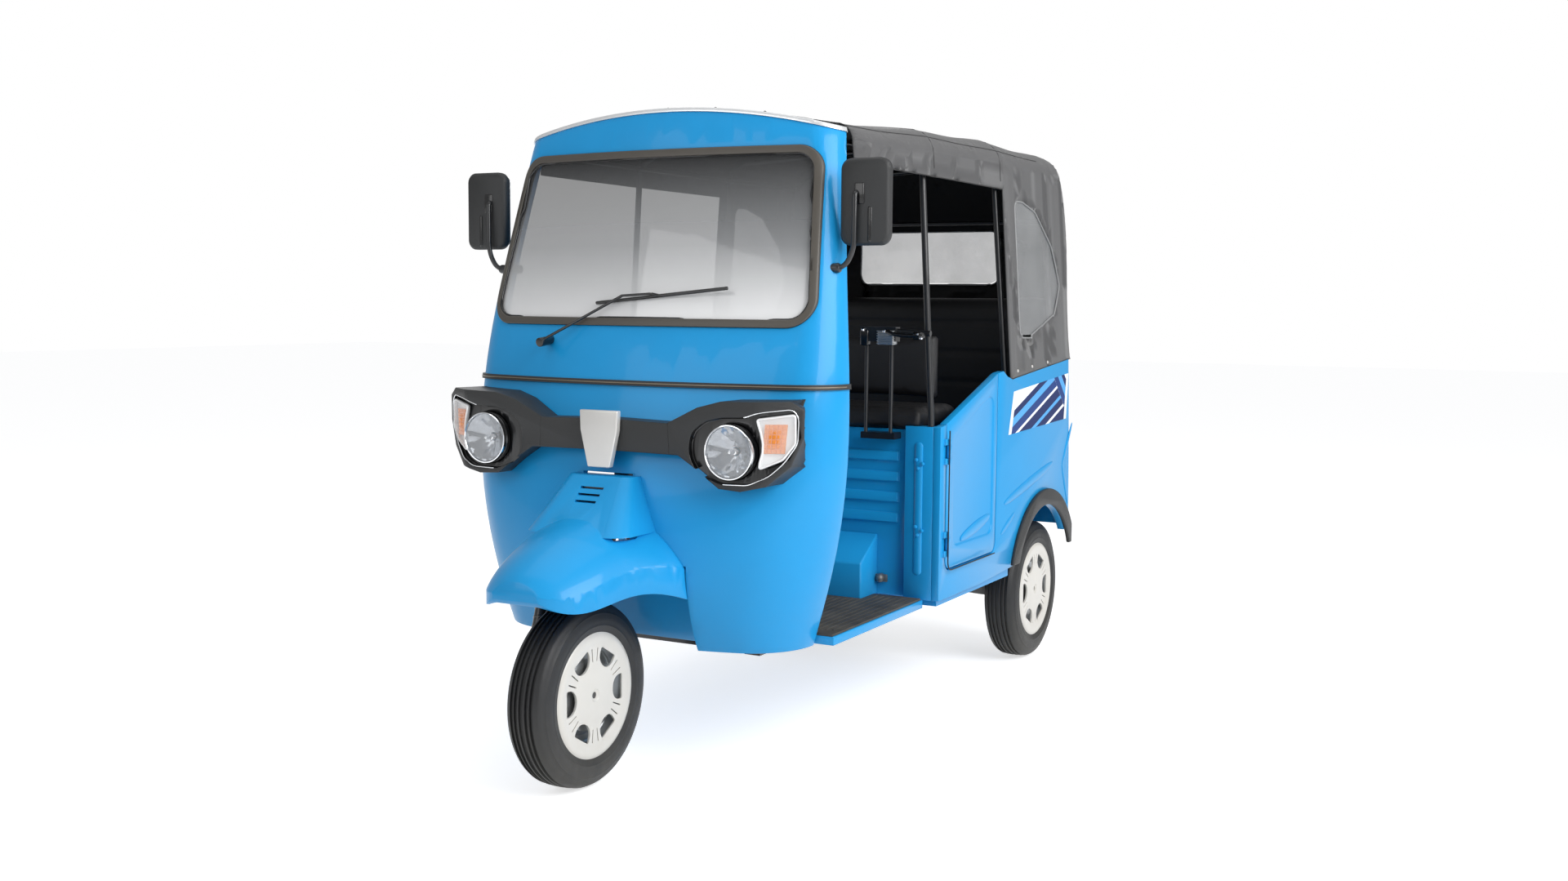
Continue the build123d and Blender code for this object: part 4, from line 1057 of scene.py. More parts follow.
class RICKSHAW_OT_side_details(bpy.types.Operator):
    """Adds the ribs, door seals that also paint the shade of the door gaps, hinge bolts and side stripes to both sides
    of the body
    """

    bl_idname = "rickshaw.side_details"
    bl_label = "Side details"

    def execute(self, context):
        for side, word in SIDES:
            panel = bpy.data.objects[f"side_panel_{word}_pressed"]
            self.ribs(side, word)
            self.post(side, word)
            self.door_seal_and_gap_shade(side, word)
            self.stripes(side, word, panel)
        return {"FINISHED"}

    def ribs(self, side, word):
        face = 0.6005 * side
        rear = [pressed_rib("rib", (face, behind(a), b), (face, behind(c), d), (side, 0, 0), width, height)
                for a, b, c, d, width, height in (
                    (1.625, 0.628, 2.130, 0.726, 0.036, 0.005),
                    (1.600, 0.528, 1.735, 0.585, 0.022, 0.003),
                    (2.345, 0.860, 2.236, 0.705, 0.020, 0.003),
                    (2.236, 0.712, 2.315, 0.552, 0.020, 0.003))]
        settle(join(f"side_ribs_{word}", rear), "body_paint", "body_paint")
        door = pressed_rib(f"door_rib_{word}", (face - 0.0045 * side, behind(1.245), 0.556),
                           (face - 0.0045 * side, behind(1.500), 0.603), (side, 0, 0), 0.038, 0.005)
        settle(door, "body_paint", "body_paint", body=f"door_{word}")

    def post(self, side, word):
        """The rib down the front of the door post, with two groups of hinge bolts."""
        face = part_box(f"side_panel_{word}")[0].y
        rib = pressed_rib(f"post_rib_{word}", (side * 0.527, face, 0.462), (side * 0.527, face, 0.880), (0, -1, 0),
                          0.028, 0.006, None)
        settle(rib, "body_paint", "body_paint")
        bolts = []
        for middle in (0.812, 0.603):
            for x, z in ((-0.010, 0.012), (0.011, 0.001), (-0.004, -0.014)):
                place = (side * (0.531 + x), face - 0.0055, middle + z)
                bolts.append(stud("bolt", place, (0, -1, 0), 0.0062, 0.006, 12))
        settle(join(f"post_bolts_{word}", bolts), "body_paint", "body_paint")

    def door_seal_and_gap_shade(self, side, word):
        """The black rubber line in the gap in front of and below the door; its black is partly painted shade of the
        gap.
        """
        low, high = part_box(f"side_door_{word}")
        x = side * (abs(low.x if side < 0 else high.x) - 0.001)
        front, rear, foot = low.y - 0.0012, high.y - 0.02, low.z - 0.0012
        points = rounded([(x, front, high.z - 0.16), (x, front, foot), (x, rear - 0.02, foot)], 0.034, 8)
        # Black rubber line that also paints the shade of the door gap.
        seal = piping(f"door_seal_and_gap_shade_{word}", points, 0.0022, False)
        settle(seal, "seal_rubber", "seal_rubber")

    def stripes(self, side, word, panel):
        """The side stripes: a leaning field of bands between two white borders, laid on the panel."""
        corners = [(1.700, 1.008), (2.290, 1.050), (2.270, 0.880), (1.655, 0.862)]
        # name, from and to along the field, finish
        for name, from_u, to_u, film in (
                ("border_front", 0.0, 0.045, "stripe_white"), ("bands", 0.045, 0.955, "stripes"),
                ("border_rear", 0.955, 1.0, "stripe_white")):
            grid = self.field(corners, from_u, to_u, 24, 8)
            points = [onto(panel, (side * 0.72, behind(a), z), (-side, 0, 0), 0.0006)[0] for a, z in grid[0]]
            piece = mesh_piece(f"side_{name}_{word}", points, faces=grid[1])
            recalculate(piece)
            self.face_outwards(piece, side)
            apply_modifier(piece, "SOLIDIFY", thickness=0.0004, offset=-1)
            settle(smooth(piece), film, "body_paint")

    def field(self, corners, from_u, to_u, across, down):
        points = []
        for row in range(down + 1):
            for column in range(across + 1):
                u, v = from_u + (to_u - from_u) * column / across, row / down
                top = Vector(corners[0]).lerp(Vector(corners[1]), u)
                foot = Vector(corners[3]).lerp(Vector(corners[2]), u)
                points.append(tuple(top.lerp(foot, v)))
        width = across + 1
        faces = [(r * width + c, r * width + c + 1, (r + 1) * width + c + 1, (r + 1) * width + c)
                 for r in range(down) for c in range(across)]
        return points, faces

    def face_outwards(self, piece, side):
        if piece.data.polygons[0].normal.x * side < 0:
            with editing(piece):
                bpy.ops.mesh.flip_normals()


# Front


def mask_front(x):
    """How far behind the axle the lamp mask's face lies, at a distance from the middle."""
    x = abs(x)
    return 0.112 + 0.0167 * x + 0.287 * (x - 0.48 + sqrt((x - 0.48) ** 2 + 0.012 ** 2))


def on_mask(x, z, depth, side=1):
    """A point that deep behind the lamp mask's face."""
    return Vector((side * x, behind(mask_front(x) + depth), z))


class RICKSHAW_OT_lamp_mask(bpy.types.Operator):
    """Moulds the dark mask with a black hollow round each pair of lamps, its seams and its bare badge"""

    bl_idname = "rickshaw.lamp_mask"
    bl_label = "Lamp mask"

    EYE = ((274, 929), (283, 966), (321, 995), (372, 1007), (440, 1010), (484, 1025), (560, 1034), (573, 1012),
           (571, 944), (540, 893), (504, 857), (454, 834), (371, 832), (303, 858), (279, 893))
    # the seam beside the badge: height, shift from its place
    SEAM_X = 0.211
    SEAM = ((0.905, 0.002), (0.92, 0.0015), (0.95, 0.0), (0.975, -0.001), (0.9865, -0.002))
    # the mask's sides lean inwards from this width and distance behind the axle, by this much a metre
    WIDEST, LEAN_FROM, LEAN = 0.592, 0.19, 0.6

    def execute(self, context):
        mask = softened("lamp_mask", 2.5 * MM, 2, 50, "lamp_mask_moulded", ("trim_plastic", "gloss_black"),
                        (self.hollow(1), self.hollow(-1)))
        for vertex in mask.data.vertices:
            side = 1 if vertex.co.x > 0 else -1
            limit = max(0.5, self.WIDEST - self.LEAN * max(0.0, vertex.co.y - behind(self.LEAN_FROM)))
            if side * vertex.co.x > limit:
                vertex.co.x = side * limit
        for side, word in SIDES:
            groove = [on_mask(self.SEAM_X + shift, z, 0.0002, side) for z, shift in self.SEAM]
            settle(piping(f"mask_seam_inner_{word}", groove, 0.0011, False), "gloss_black", "trim_plastic")
            edge = [on_mask(x * MM, z * MM, 0.001, side) for x, z in self.rounded_eye()[22:62]]
            rim = piping(f"eye_rim_{word}", edge, 0.0016, False)
            settle(rim, "chrome", "trim_plastic")
        settle(smooth(mask, 40), None, "trim_plastic", "lamp_mask")
        badge = softened("badge_plate", 4 * MM, 4, 40, "badge_shield")
        settle(badge, "badge_metal", "badge_metal", "badge_plate")
        return {"FINISHED"}

    def rounded_eye(self):
        return rounded_outline(self.EYE, 16, 4)

    def hollow(self, side):
        outline = [(side * x * MM, z * MM) for x, z in self.rounded_eye()]
        tool = plate("hollow", outline, 0.25, "Y", behind(0.05))
        with editing(tool):
            for step in range(27, 58):
                bpy.ops.mesh.select_all(action="SELECT")
                bpy.ops.mesh.bisect(plane_co=(side * step * 0.01, 0, 0), plane_no=(1, 0, 0))
        for vertex in tool.data.vertices:
            if vertex.co.y > behind(0.2):
                vertex.co.y = behind(mask_front(vertex.co.x) + 0.016)
        for name in ("trim_plastic", "gloss_black"):
            tool.data.materials.append(finish(name).data)
        for polygon in tool.data.polygons:
            polygon.material_index = 1
        return tool


class RICKSHAW_OT_headlamps(bpy.types.Operator):
    """Builds the two headlamps: a chrome ring, a fluted reflector, a bulb and a clear cover"""

    bl_idname = "rickshaw.headlamps"
    bl_label = "Headlamps"

    # behind the lamp's front, radius, in millimetres
    PROFILES = {
        "ring": ((12, 73), (1, 73.5), (-3, 72), (-3.5, 69.5), (-1, 67.5), (6, 67)),
        "can": ((5, 73), (80, 73), (80, 70.5), (5, 70.5)),
        "bulb": ((38, 0), (38, 9), (26, 9), (24, 6), (8, 6), (4, 4), (3, 0)),
        "cover": ((-9, 0), (-8, 22), (-5.5, 44), (-1.5, 60), (2, 67), (4, 67), (0.5, 59), (-3.5, 43), (-6, 22),
                  (-7, 0)),
    }

    def execute(self, context):
        low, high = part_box("headlamps")
        z, front = (low.z + high.z) / 2, low.y
        for side, word in SIDES:
            centre = Vector((side * 0.402, front, z))
            ring = self.turned("ring", word, centre, 72)
            settle(self.turned("can", word, centre, 64), "gloss_black", "lamp_chrome")
            dish = self.reflector(f"headlamp_reflector_{word}", centre)
            bulb = self.turned("bulb", word, centre, 24, False)
            cover = self.turned("cover", word, centre, 64, False)
            settle(ring, "chrome", "lamp_chrome", "headlamps")
            settle(dish, "reflector", "lamp_chrome")
            settle(bulb, "chrome", "lamp_chrome")
            settle(cover, "lamp_lens", "lamp_lens")
        return {"FINISHED"}

    def turned(self, part, word, centre, steps, closed=True):
        """A part of the lamp, turned from its profile."""
        profile = [(along * MM, radius * MM) for along, radius in self.PROFILES[part]]
        return lathe(f"headlamp_{part}_{word}", profile, centre, "Y", steps, closed)

    def reflector(self, name, centre):
        inner = [(5, 67), (8, 62), (15, 52), (24, 42), (32, 32), (38, 21), (41, 12)]
        outer = [(along + 2, radius) for along, radius in reversed(inner)]
        dish = lathe(name, [(a * MM, r * MM) for a, r in inner + outer], centre, "Y", 48)
        for vertex in dish.data.vertices:
            across, up = vertex.co.x - centre.x, vertex.co.z - centre.z
            radius, angle = sqrt(across ** 2 + up ** 2), atan2(up, across)
            flutes = cos(9 * angle) * min(1.0, (radius / (62 * MM)) ** 2) * (1.0 if radius < 66 * MM else 0.0)
            vertex.co.y += (2.6 * flutes + 1.2 * sin(4 * angle + radius * 90)) * MM
        return smooth(dish, 14)


class RICKSHAW_OT_indicators(bpy.types.Operator):
    """Builds the indicators: a bright tray, an amber bulb with square facets and a clear cover"""

    bl_idname = "rickshaw.indicators"
    bl_label = "Indicators"

    TRAY = ((476, 1006), (563, 1019), (564, 945), (536, 903), (482, 878), (484, 897), (490, 920), (491, 945),
            (486, 972))

    def execute(self, context):
        for side, word in SIDES:
            outline = rounded_outline(self.TRAY, 7, 4)
            tray = self.skin(f"indicator_tray_{word}", outline, 0.0145, 0.002, side)
            wall = piping(f"indicator_wall_{word}", [on_mask(x * MM, z * MM, 0.007, side) for x, z in outline], 0.0036)
            for vertex in wall.data.vertices:
                middle = behind(mask_front(vertex.co.x) + 0.007)
                vertex.co.y = middle + (vertex.co.y - middle) * 2.0
            cover = self.skin(f"indicator_cover_{word}", outline, 0.001, 0.0012, side)
            bulb = self.bulb(f"indicator_bulb_{word}", side)
            settle(tray, "lamp_white", "lamp_lens", "indicators")
            settle(wall, "lamp_white", "lamp_lens")
            settle(bulb, "amber_lens", "lamp_lens")
            settle(cover, "lamp_lens", "lamp_lens")
        return {"FINISHED"}

    def skin(self, name, outline, depth, thickness, side):
        """A thin plate behind the mask's face, inside an outline."""
        piece = mesh_piece(name, [on_mask(x * MM, z * MM, depth, side) for x, z in outline],
                           faces=[tuple(range(len(outline)))])
        with editing(piece):
            bpy.ops.mesh.quads_convert_to_tris()
        apply_modifier(piece, "SOLIDIFY", thickness=thickness, offset=0)
        recalculate(piece)
        return smooth(piece)

    def bulb(self, name, side):
        """An amber block with rows of square facets on its front."""
        columns, rows = 5, 6
        points, faces = [], []
        for row in range(rows + 1):
            for column in range(columns + 1):
                u, v = column / columns, row / rows
                x, z = 0.489 + 0.050 * u + 0.006 * v, 0.918 + 0.076 * v
                points.append(on_mask(x, z, 0.010 - 0.004 * sin(pi * u) * sin(pi * v), side))
        for row in range(rows):
            for column in range(columns):
                corner = row * (columns + 1) + column
                faces.append((corner, corner + 1, corner + columns + 2, corner + columns + 1))
        piece = mesh_piece(name, points, faces=faces)
        bpy.ops.object.mode_set(mode="EDIT")
        bpy.ops.mesh.select_mode(type="FACE")
        bpy.ops.mesh.select_all(action="SELECT")
        bpy.ops.mesh.normals_make_consistent(inside=False)
        bpy.ops.mesh.extrude_region_move(TRANSFORM_OT_translate={"value": (0, -0.004, 0)})
        bpy.ops.mesh.inset(thickness=0.0022, depth=0.002, use_individual=True)
        bpy.ops.object.mode_set(mode="OBJECT")
        recalculate(piece)
        return smooth(piece, 20)


class RICKSHAW_OT_front_trim(bpy.types.Operator):
    """Draws a grey-brown line along the belt moulding as a painted highlight, sets a black plate of painted shade
    behind the fender's louvres, and rounds and rivets the roof strip
    """

    bl_idname = "rickshaw.front_trim"
    bl_label = "Front trim"

    def execute(self, context):
        belt = frame["nodes"]["belt_moulding"]
        low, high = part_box("belt_moulding")
        centre = Vector((0, behind(0.72), (low.z + high.z) / 2))
        line = []
        for i in range(121):
            turn = radians(-151 + 122 * i / 120)
            out = Vector((cos(turn), sin(turn), 0))
            found, point, normal, face = belt.ray_cast(centre + out * 2, -out)
            if found and normal.dot(out) > 0.2:
                line.append(point - normal * 0.0006)
        # A grey-brown line along the moulding's middle: painted highlight.
        middle = piping("belt_moulding_highlight_line", line, 0.0021, False)
        settle(middle, "belt_painted_highlight", "trim_plastic")
        fender = bpy.data.objects["front_fender_pressed"]
        half, foot, top = 0.054, 0.752, 0.813
        back = onto(fender, (0.05, -2, top - 0.001), (0, 1, 0), 0)[0].y
        # A black plate behind the louvres: painted shade in their openings.
        plate = bevelled_box("louvre_painted_shade", (-half, back + 0.006, foot), (half, back + 0.010, top), 0.0015, 1)
        settle(plate, "gloss_black", "trim_plastic")
        strip = softened("roof_trim", 1.5 * MM, 2, 40, "roof_strip")
        settle(strip, "roof_strip", "roof_strip", "roof_trim")
        rivets = []
        for x in (-0.47, -0.31, -0.155, 0.0, 0.155, 0.31, 0.47):
            hits = [strip.ray_cast(Vector((x, behind(0.38 + 0.004 * i), 2.2)), Vector((0, 0, -1))) for i in range(50)]
            hits = [hit for hit in hits if hit[0] and hit[2].z > 0.5]
            found, place, normal, face = hits[len(hits) // 2]
            rivets.append(stud("rivet", place, normal, 0.0042, 0.0032, 16))
        settle(join("roof_strip_rivets", rivets), "gloss_black", "roof_strip")
        return {"FINISHED"}


class RICKSHAW_OT_windscreen(bpy.types.Operator):
    """Rounds the windscreen's rubber seal and wiper, and lays a black lip round the glass"""

    bl_idname = "rickshaw.windscreen"
    bl_label = "Windscreen"

    def execute(self, context):
        seal = softened("windscreen_gasket", 3.5 * MM, 4, 40, "windscreen_seal")
        settle(seal, "seal_lip", "seal_rubber", "windscreen_gasket")
        settle(self.glass_edge(frame["nodes"]["windscreen_glass"]), "gloss_black", "seal_rubber")
        wiper = softened("wiper", 1.2 * MM, 2, 40, "wiper_arm")
        settle(wiper, "gloss_black", "trim_plastic", "wiper")
        return {"FINISHED"}

    def glass_edge(self, glass):
        """The seal's narrow black lip round the glass."""
        points = [vertex.co for vertex in glass.data.vertices]
        middle = sum(points, Vector()) / len(points)
        kept = []
        for i in range(160):
            angle = 2 * pi * i / 160
            out, across = Vector((cos(angle), 0, sin(angle))), Vector((-sin(angle), 0, cos(angle)))
            far = max(points, key=lambda p: (p - middle).dot(out) - 0.35 * abs((p - middle).dot(across)))
            if not kept or (far - kept[-1]).length > 0.012:
                kept.append(far.copy())
        front = []
        for place in kept:
            near = [p.y for p in points if abs(p.x - place.x) < 0.02 and abs(p.z - place.z) < 0.02]
            front.append(Vector((place.x, min(near), place.z)))
        return piping("windscreen_lip", front, 0.0038)


class RICKSHAW_OT_mirrors(bpy.types.Operator):
    """Moulds the mirror shells with a raised spine and bracket, sets their glass and bends their arms"""

    bl_idname = "rickshaw.mirrors"
    bl_label = "Mirrors"

    def execute(self, context):
        shells = softened("mirror_heads", 11 * MM, 5, 60, "mirror_shells")
        settle(shells, "trim_plastic", "trim_plastic", "mirror_heads")
        low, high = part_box("mirror_heads")
        arms = []
        for side, word in SIDES:
            x = side * (high.x - 0.075)
            left, right, foot, top = x - 0.066, x + 0.066, low.z + 0.010, high.z - 0.010
            outline = rounded_outline([(left, foot), (right, foot), (right, top), (left, top)], 0.022, 6)
            glass = plate(f"mirror_glass_{word}", outline, 0.0012, "Y", high.y - 0.0006, 0.0004)
            settle(glass, "mirror_glass", "lamp_chrome")
            spine = pressed_rib(f"mirror_spine_{word}", (x + side * 0.020, low.y + 0.0015, 1.470),
                                (x + side * 0.020, low.y + 0.0015, 1.566), (0, -1, 0), 0.012, 0.004, None)
            front = low.y - 0.009
            arm = tube(f"mirror_arm_{word}",
                       [(side * x, y, z) for x, y, z in (
                           (0.505, front + 0.002, 1.401), (0.588, front, 1.402), (0.616, front - 0.002, 1.452),
                           (0.6175, front - 0.002, 1.60), (0.6175, low.y + 0.008, 1.606))], 0.0072, 0.03, 16)
            foot = tube("foot", [(side * 0.500, front + 0.002, 1.401), (side * 0.566, front + 0.001, 1.402)],
                        0.0135, 0.01, 20)
            tip = stud("tip", (side * 0.566, front + 0.001, 1.402), (side, 0, 0), 0.0135, 0.012, 24)
            arms.append(join("arm", [arm, foot, tip]))
            boss = bevelled_box(f"mirror_bracket_{word}", (side * 0.626 - 0.014, low.y - 0.004, 1.572),
                                (side * 0.626 + 0.014, low.y + 0.002, 1.628), 0.004, 3)
            settle(join(f"mirror_fittings_{word}", [smooth(boss), spine]), "gloss_black", "trim_plastic")
        settle(join("mirror_arms_bent", arms), "black_steel", "black_steel", "mirror_arms")
        return {"FINISHED"}


# Hood


def clamp01(value):
    return max(0.0, min(1.0, value))


class RICKSHAW_OT_hood(bpy.types.Operator):
    """Makes the hood as one sheet of cloth over its bows, with seams, bound edges and snaps"""

    bl_idname = "rickshaw.hood"
    bl_label = "Hood"

    GRID = 0.030
    # places of the bows behind the front axle
    BOWS = (0.50, 1.072, 1.679, 2.18)
    SAG, FOLD, PUCKER, STEP_DOWN = 0.0065, 0.0024, 0.0016, 0.006

    def execute(self, context):
        cloth = self.outer_skin()
        self.even_out(cloth)
        self.hang(cloth)
        loops = self.borders(cloth)
        seams = self.seams(cloth)
        cloth.data.materials.clear()
        # The inner faces get the near-black finish, painted shade inside the hood.
        for name in ("hood_fabric", "hood_lining_painted_shade"):
            cloth.data.materials.append(finish(name).data)
        apply_modifier(cloth, "SOLIDIFY", thickness=0.0022, offset=-1, material_offset=1, material_offset_rim=0,
                       use_even_offset=False)
        settle(smooth(cloth, 60), None, "hood_fabric", "canopy")
        for i, loop in enumerate(sorted(loops, key=len, reverse=True)):
            welt = piping(f"hood_welt_{i}", loop, 0.0030 if i else 0.0018)
            settle(welt, "hood_piping" if i else "hood_binding", "hood_fabric")
        settle(seams, "hood_binding", "hood_fabric")
        self.snaps(cloth)
        return {"FINISHED"}

    def outer_skin(self):
        """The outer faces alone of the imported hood."""
        cloth = dressed_copy("canopy", 180)
        cloth.name = "hood_cloth"
        wall = {}
        for polygon in cloth.data.polygons:
            start = polygon.center - polygon.normal * 0.0005
            found, point, normal, face = cloth.ray_cast(start, -polygon.normal)
            thick = (point - start).length if found else 1.0
            middle = Vector((0, min(polygon.center.y, behind(2.0)), 1.42))
            outer = polygon.normal.dot(polygon.center - middle) > 0
            wall[polygon.index] = outer and thick < 0.012
        pick(cloth, lambda f: not wall[f.index])
        bpy.ops.mesh.delete(type="FACE")
        bpy.ops.mesh.select_all(action="SELECT")
        bpy.ops.mesh.dissolve_limited(angle_limit=radians(0.3))
        bpy.ops.object.mode_set(mode="OBJECT")
        return cloth

    def even_out(self, cloth):
        """Cuts the skin by three sets of planes, so that it has enough points to hang softly."""
        low = Vector([min(v.co[i] for v in cloth.data.vertices) for i in range(3)])
        high = Vector([max(v.co[i] for v in cloth.data.vertices) for i in range(3)])
        with editing(cloth):
            for axis, normal in enumerate(((1, 0, 0), (0, 1, 0), (0, 0, 1))):
                for step in range(1, int((high[axis] - low[axis]) / self.GRID)):
                    place = list(low)
                    place[axis] += step * self.GRID
                    bpy.ops.mesh.select_all(action="SELECT")
                    bpy.ops.mesh.bisect(plane_co=place, plane_no=normal)
            bpy.ops.mesh.select_all(action="SELECT")
            bpy.ops.mesh.remove_doubles(threshold=0.0004)

    def hang(self, cloth):
        """Sags the cloth between its bows and gives it soft, shallow folds."""
        cloth.data.update()
        normals = [vertex.normal.copy() for vertex in cloth.data.vertices]
        places = [vertex.co.copy() for vertex in cloth.data.vertices]
        for vertex, place, normal in zip(cloth.data.vertices, places, normals):
            back = place.y - behind(0)
            sag = 0.0
            for first, second in zip(self.BOWS, self.BOWS[1:]):
                if first < back < second:
                    sag = sin(pi * (back - first) / (second - first)) ** 2
            top = clamp01((normal.z - 0.35) / 0.4)
            side = clamp01((abs(normal.x) - 0.7) / 0.3)
            puckers = sum(self.PUCKER * max(0.0, 1 - abs(back - bow) / 0.035) for bow in self.BOWS[1:])
            folds = cloth_noise(place * 2.1) * 0.7 + cloth_noise(place * Vector((3, 5, 1.4))) * 0.3
            lift = puckers - self.SAG * sag * top + self.FOLD * folds * (0.4 + 0.6 * side)
            # the cloth steps down behind the middle bow
            step = self.STEP_DOWN * clamp01((back - 1.62) / 0.05) * top
            vertex.co = place + normal * lift - Vector((0, 0, step))

    def borders(self, cloth):
        """The cloth's open edges, each as a ring of points."""
        mesh = bmesh.new()
        mesh.from_mesh(cloth.data)
        left = {edge for edge in mesh.edges if len(edge.link_faces) == 1}
        loops = []
        while left:
            edge = left.pop()
            start, vertex = edge.verts
            ring = [start.co.copy(), vertex.co.copy()]
            while vertex is not start:
                follow = next((e for e in vertex.link_edges if e in left), None)
                if follow is None:
                    break
                left.discard(follow)
                vertex = follow.other_vert(vertex)
                if vertex is not start:
                    ring.append(vertex.co.copy())
            if len(ring) > 20:
                loops.append(ring)
        mesh.free()
        return loops

    def seams(self, cloth):
        """Felled seams over the two front bows and along the edge of the roof."""
        pieces = []
        for back in (1.085, 1.652):
            line = []
            for i in range(61):
                angle = radians(8 + 164 * i / 60)
                out = Vector((cos(angle), 0, sin(angle)))
                origin = Vector((0, behind(back), 1.50))
                found, point, normal, face = cloth.ray_cast(origin + out * 1.2, -out)
                if found and point.z > 1.70:
                    line.append(point + normal * 0.0002)
            pieces.append(piping("seam", line, 0.0016, False))
        for side in (1, -1):
            line = []
            for i in range(64):
                origin = Vector((0, behind(0.56 + 1.50 * i / 63), 1.42))
                out = Vector((side * 0.80, 0, 0.60)).normalized()
                found, point, normal, face = cloth.ray_cast(origin + out * 1.2, -out)
                if found and point.z > 1.6:
                    line.append(point + normal * 0.0002)
            pieces.append(piping("seam", line, 0.0014, False))
        return join("hood_seams", pieces)

    def snaps(self, cloth):
        """Press studs along the foot of the hood's sides."""
        pieces = []
        for side in (1, -1):
            for back, height in ((1.742, 1.078), (1.89, 1.088), (2.056, 1.098), (2.326, 1.116)):
                start = Vector((side * 0.8, behind(back), height))
                found, point, normal, face = cloth.ray_cast(start, Vector((-side, 0, 0)))
                if found:
                    pieces.append(stud("snap", point, normal, 0.0058, 0.0034, 16))
        settle(join("hood_snaps", pieces), "badge_metal", "hood_fabric")


# Seats


class RICKSHAW_OT_seats(bpy.types.Operator):
    """Stuffs the seats and backrests, with sewn channels"""

    bl_idname = "rickshaw.seats"
    bl_label = "Seats"

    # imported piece, how far the cover may swell in millimetres, number of sewn channels
    PADS = (("driver_seat", 8, 3), ("driver_backrest", 8, 0), ("passenger_seat", 10, 4), ("passenger_backrest", 10, 4))

    def execute(self, context):
        for node, swell, channels in self.PADS:
            low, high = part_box(node)
            pad = self.stuffed(node, low, high, swell * MM)
            self.sew(pad, low, high, channels)
            settle(smooth(pad, 70), "seat_cover", "seat_cover", node)
        return {"FINISHED"}

    def stuffed(self, node, low, high, swell):
        """A crowned block of foam under a cover, inflated as cloth."""
        inset = Vector([min(0.012, (b - a) * 0.12) for a, b in zip(low, high)])
        pad = bevelled_box(f"{node}_pad", low + inset, high - inset, min(high - low) * 0.22, 4)
        apply_modifier(pad, "REMESH", mode="VOXEL", voxel_size=0.010 if min(high - low) > 0.07 else 0.008)
        start = [vertex.co.copy() for vertex in pad.data.vertices]
        choose(pad)
        cloth = pad.modifiers.new("Cloth", "CLOTH")
        cloth.settings.quality = 4
        cloth.settings.mass = 0.3
        cloth.settings.tension_stiffness = 22
        cloth.settings.compression_stiffness = 22
        cloth.settings.bending_stiffness = 0.8
        cloth.settings.use_pressure = True
        cloth.settings.uniform_pressure_force = 4
        cloth.settings.effector_weights.gravity = 0
        cloth.collision_settings.use_collision = False
        cloth.collision_settings.use_self_collision = False
        for step in range(1, 15):
            bpy.context.scene.frame_set(step)
        bpy.ops.object.modifier_apply(modifier="Cloth")
        bpy.context.scene.frame_set(1)
        for vertex, place in zip(pad.data.vertices, start):
            move = vertex.co - place
            if move.length > swell:
                vertex.co = place + move.normalized() * swell
            for i in range(3):
                vertex.co[i] = max(low[i] - 0.002, min(high[i] + 0.004, vertex.co[i]))
            vertex.co.z = max(vertex.co.z, low.z + 0.001)
        return pad

    def sew(self, pad, low, high, channels):
        """Presses sewn channels into the cover, from side to side."""
        flat = (high.z - low.z) < (high.y - low.y)
        along = 1 if flat else 2
        lines = [low[along] + (high[along] - low[along]) * (i + 1) / (channels + 1) for i in range(channels)]
        normals = [vertex.normal.copy() for vertex in pad.data.vertices]
        for vertex, normal in zip(pad.data.vertices, normals):
            face = normal.z if flat else -normal.y
            depth = sum(0.0055 * max(0.0, 1 - abs(vertex.co[along] - line) / 0.009) ** 0.7 for line in lines)
            if face > 0.5:
                vertex.co = vertex.co - normal * depth
        pad.data.update()


# Cab


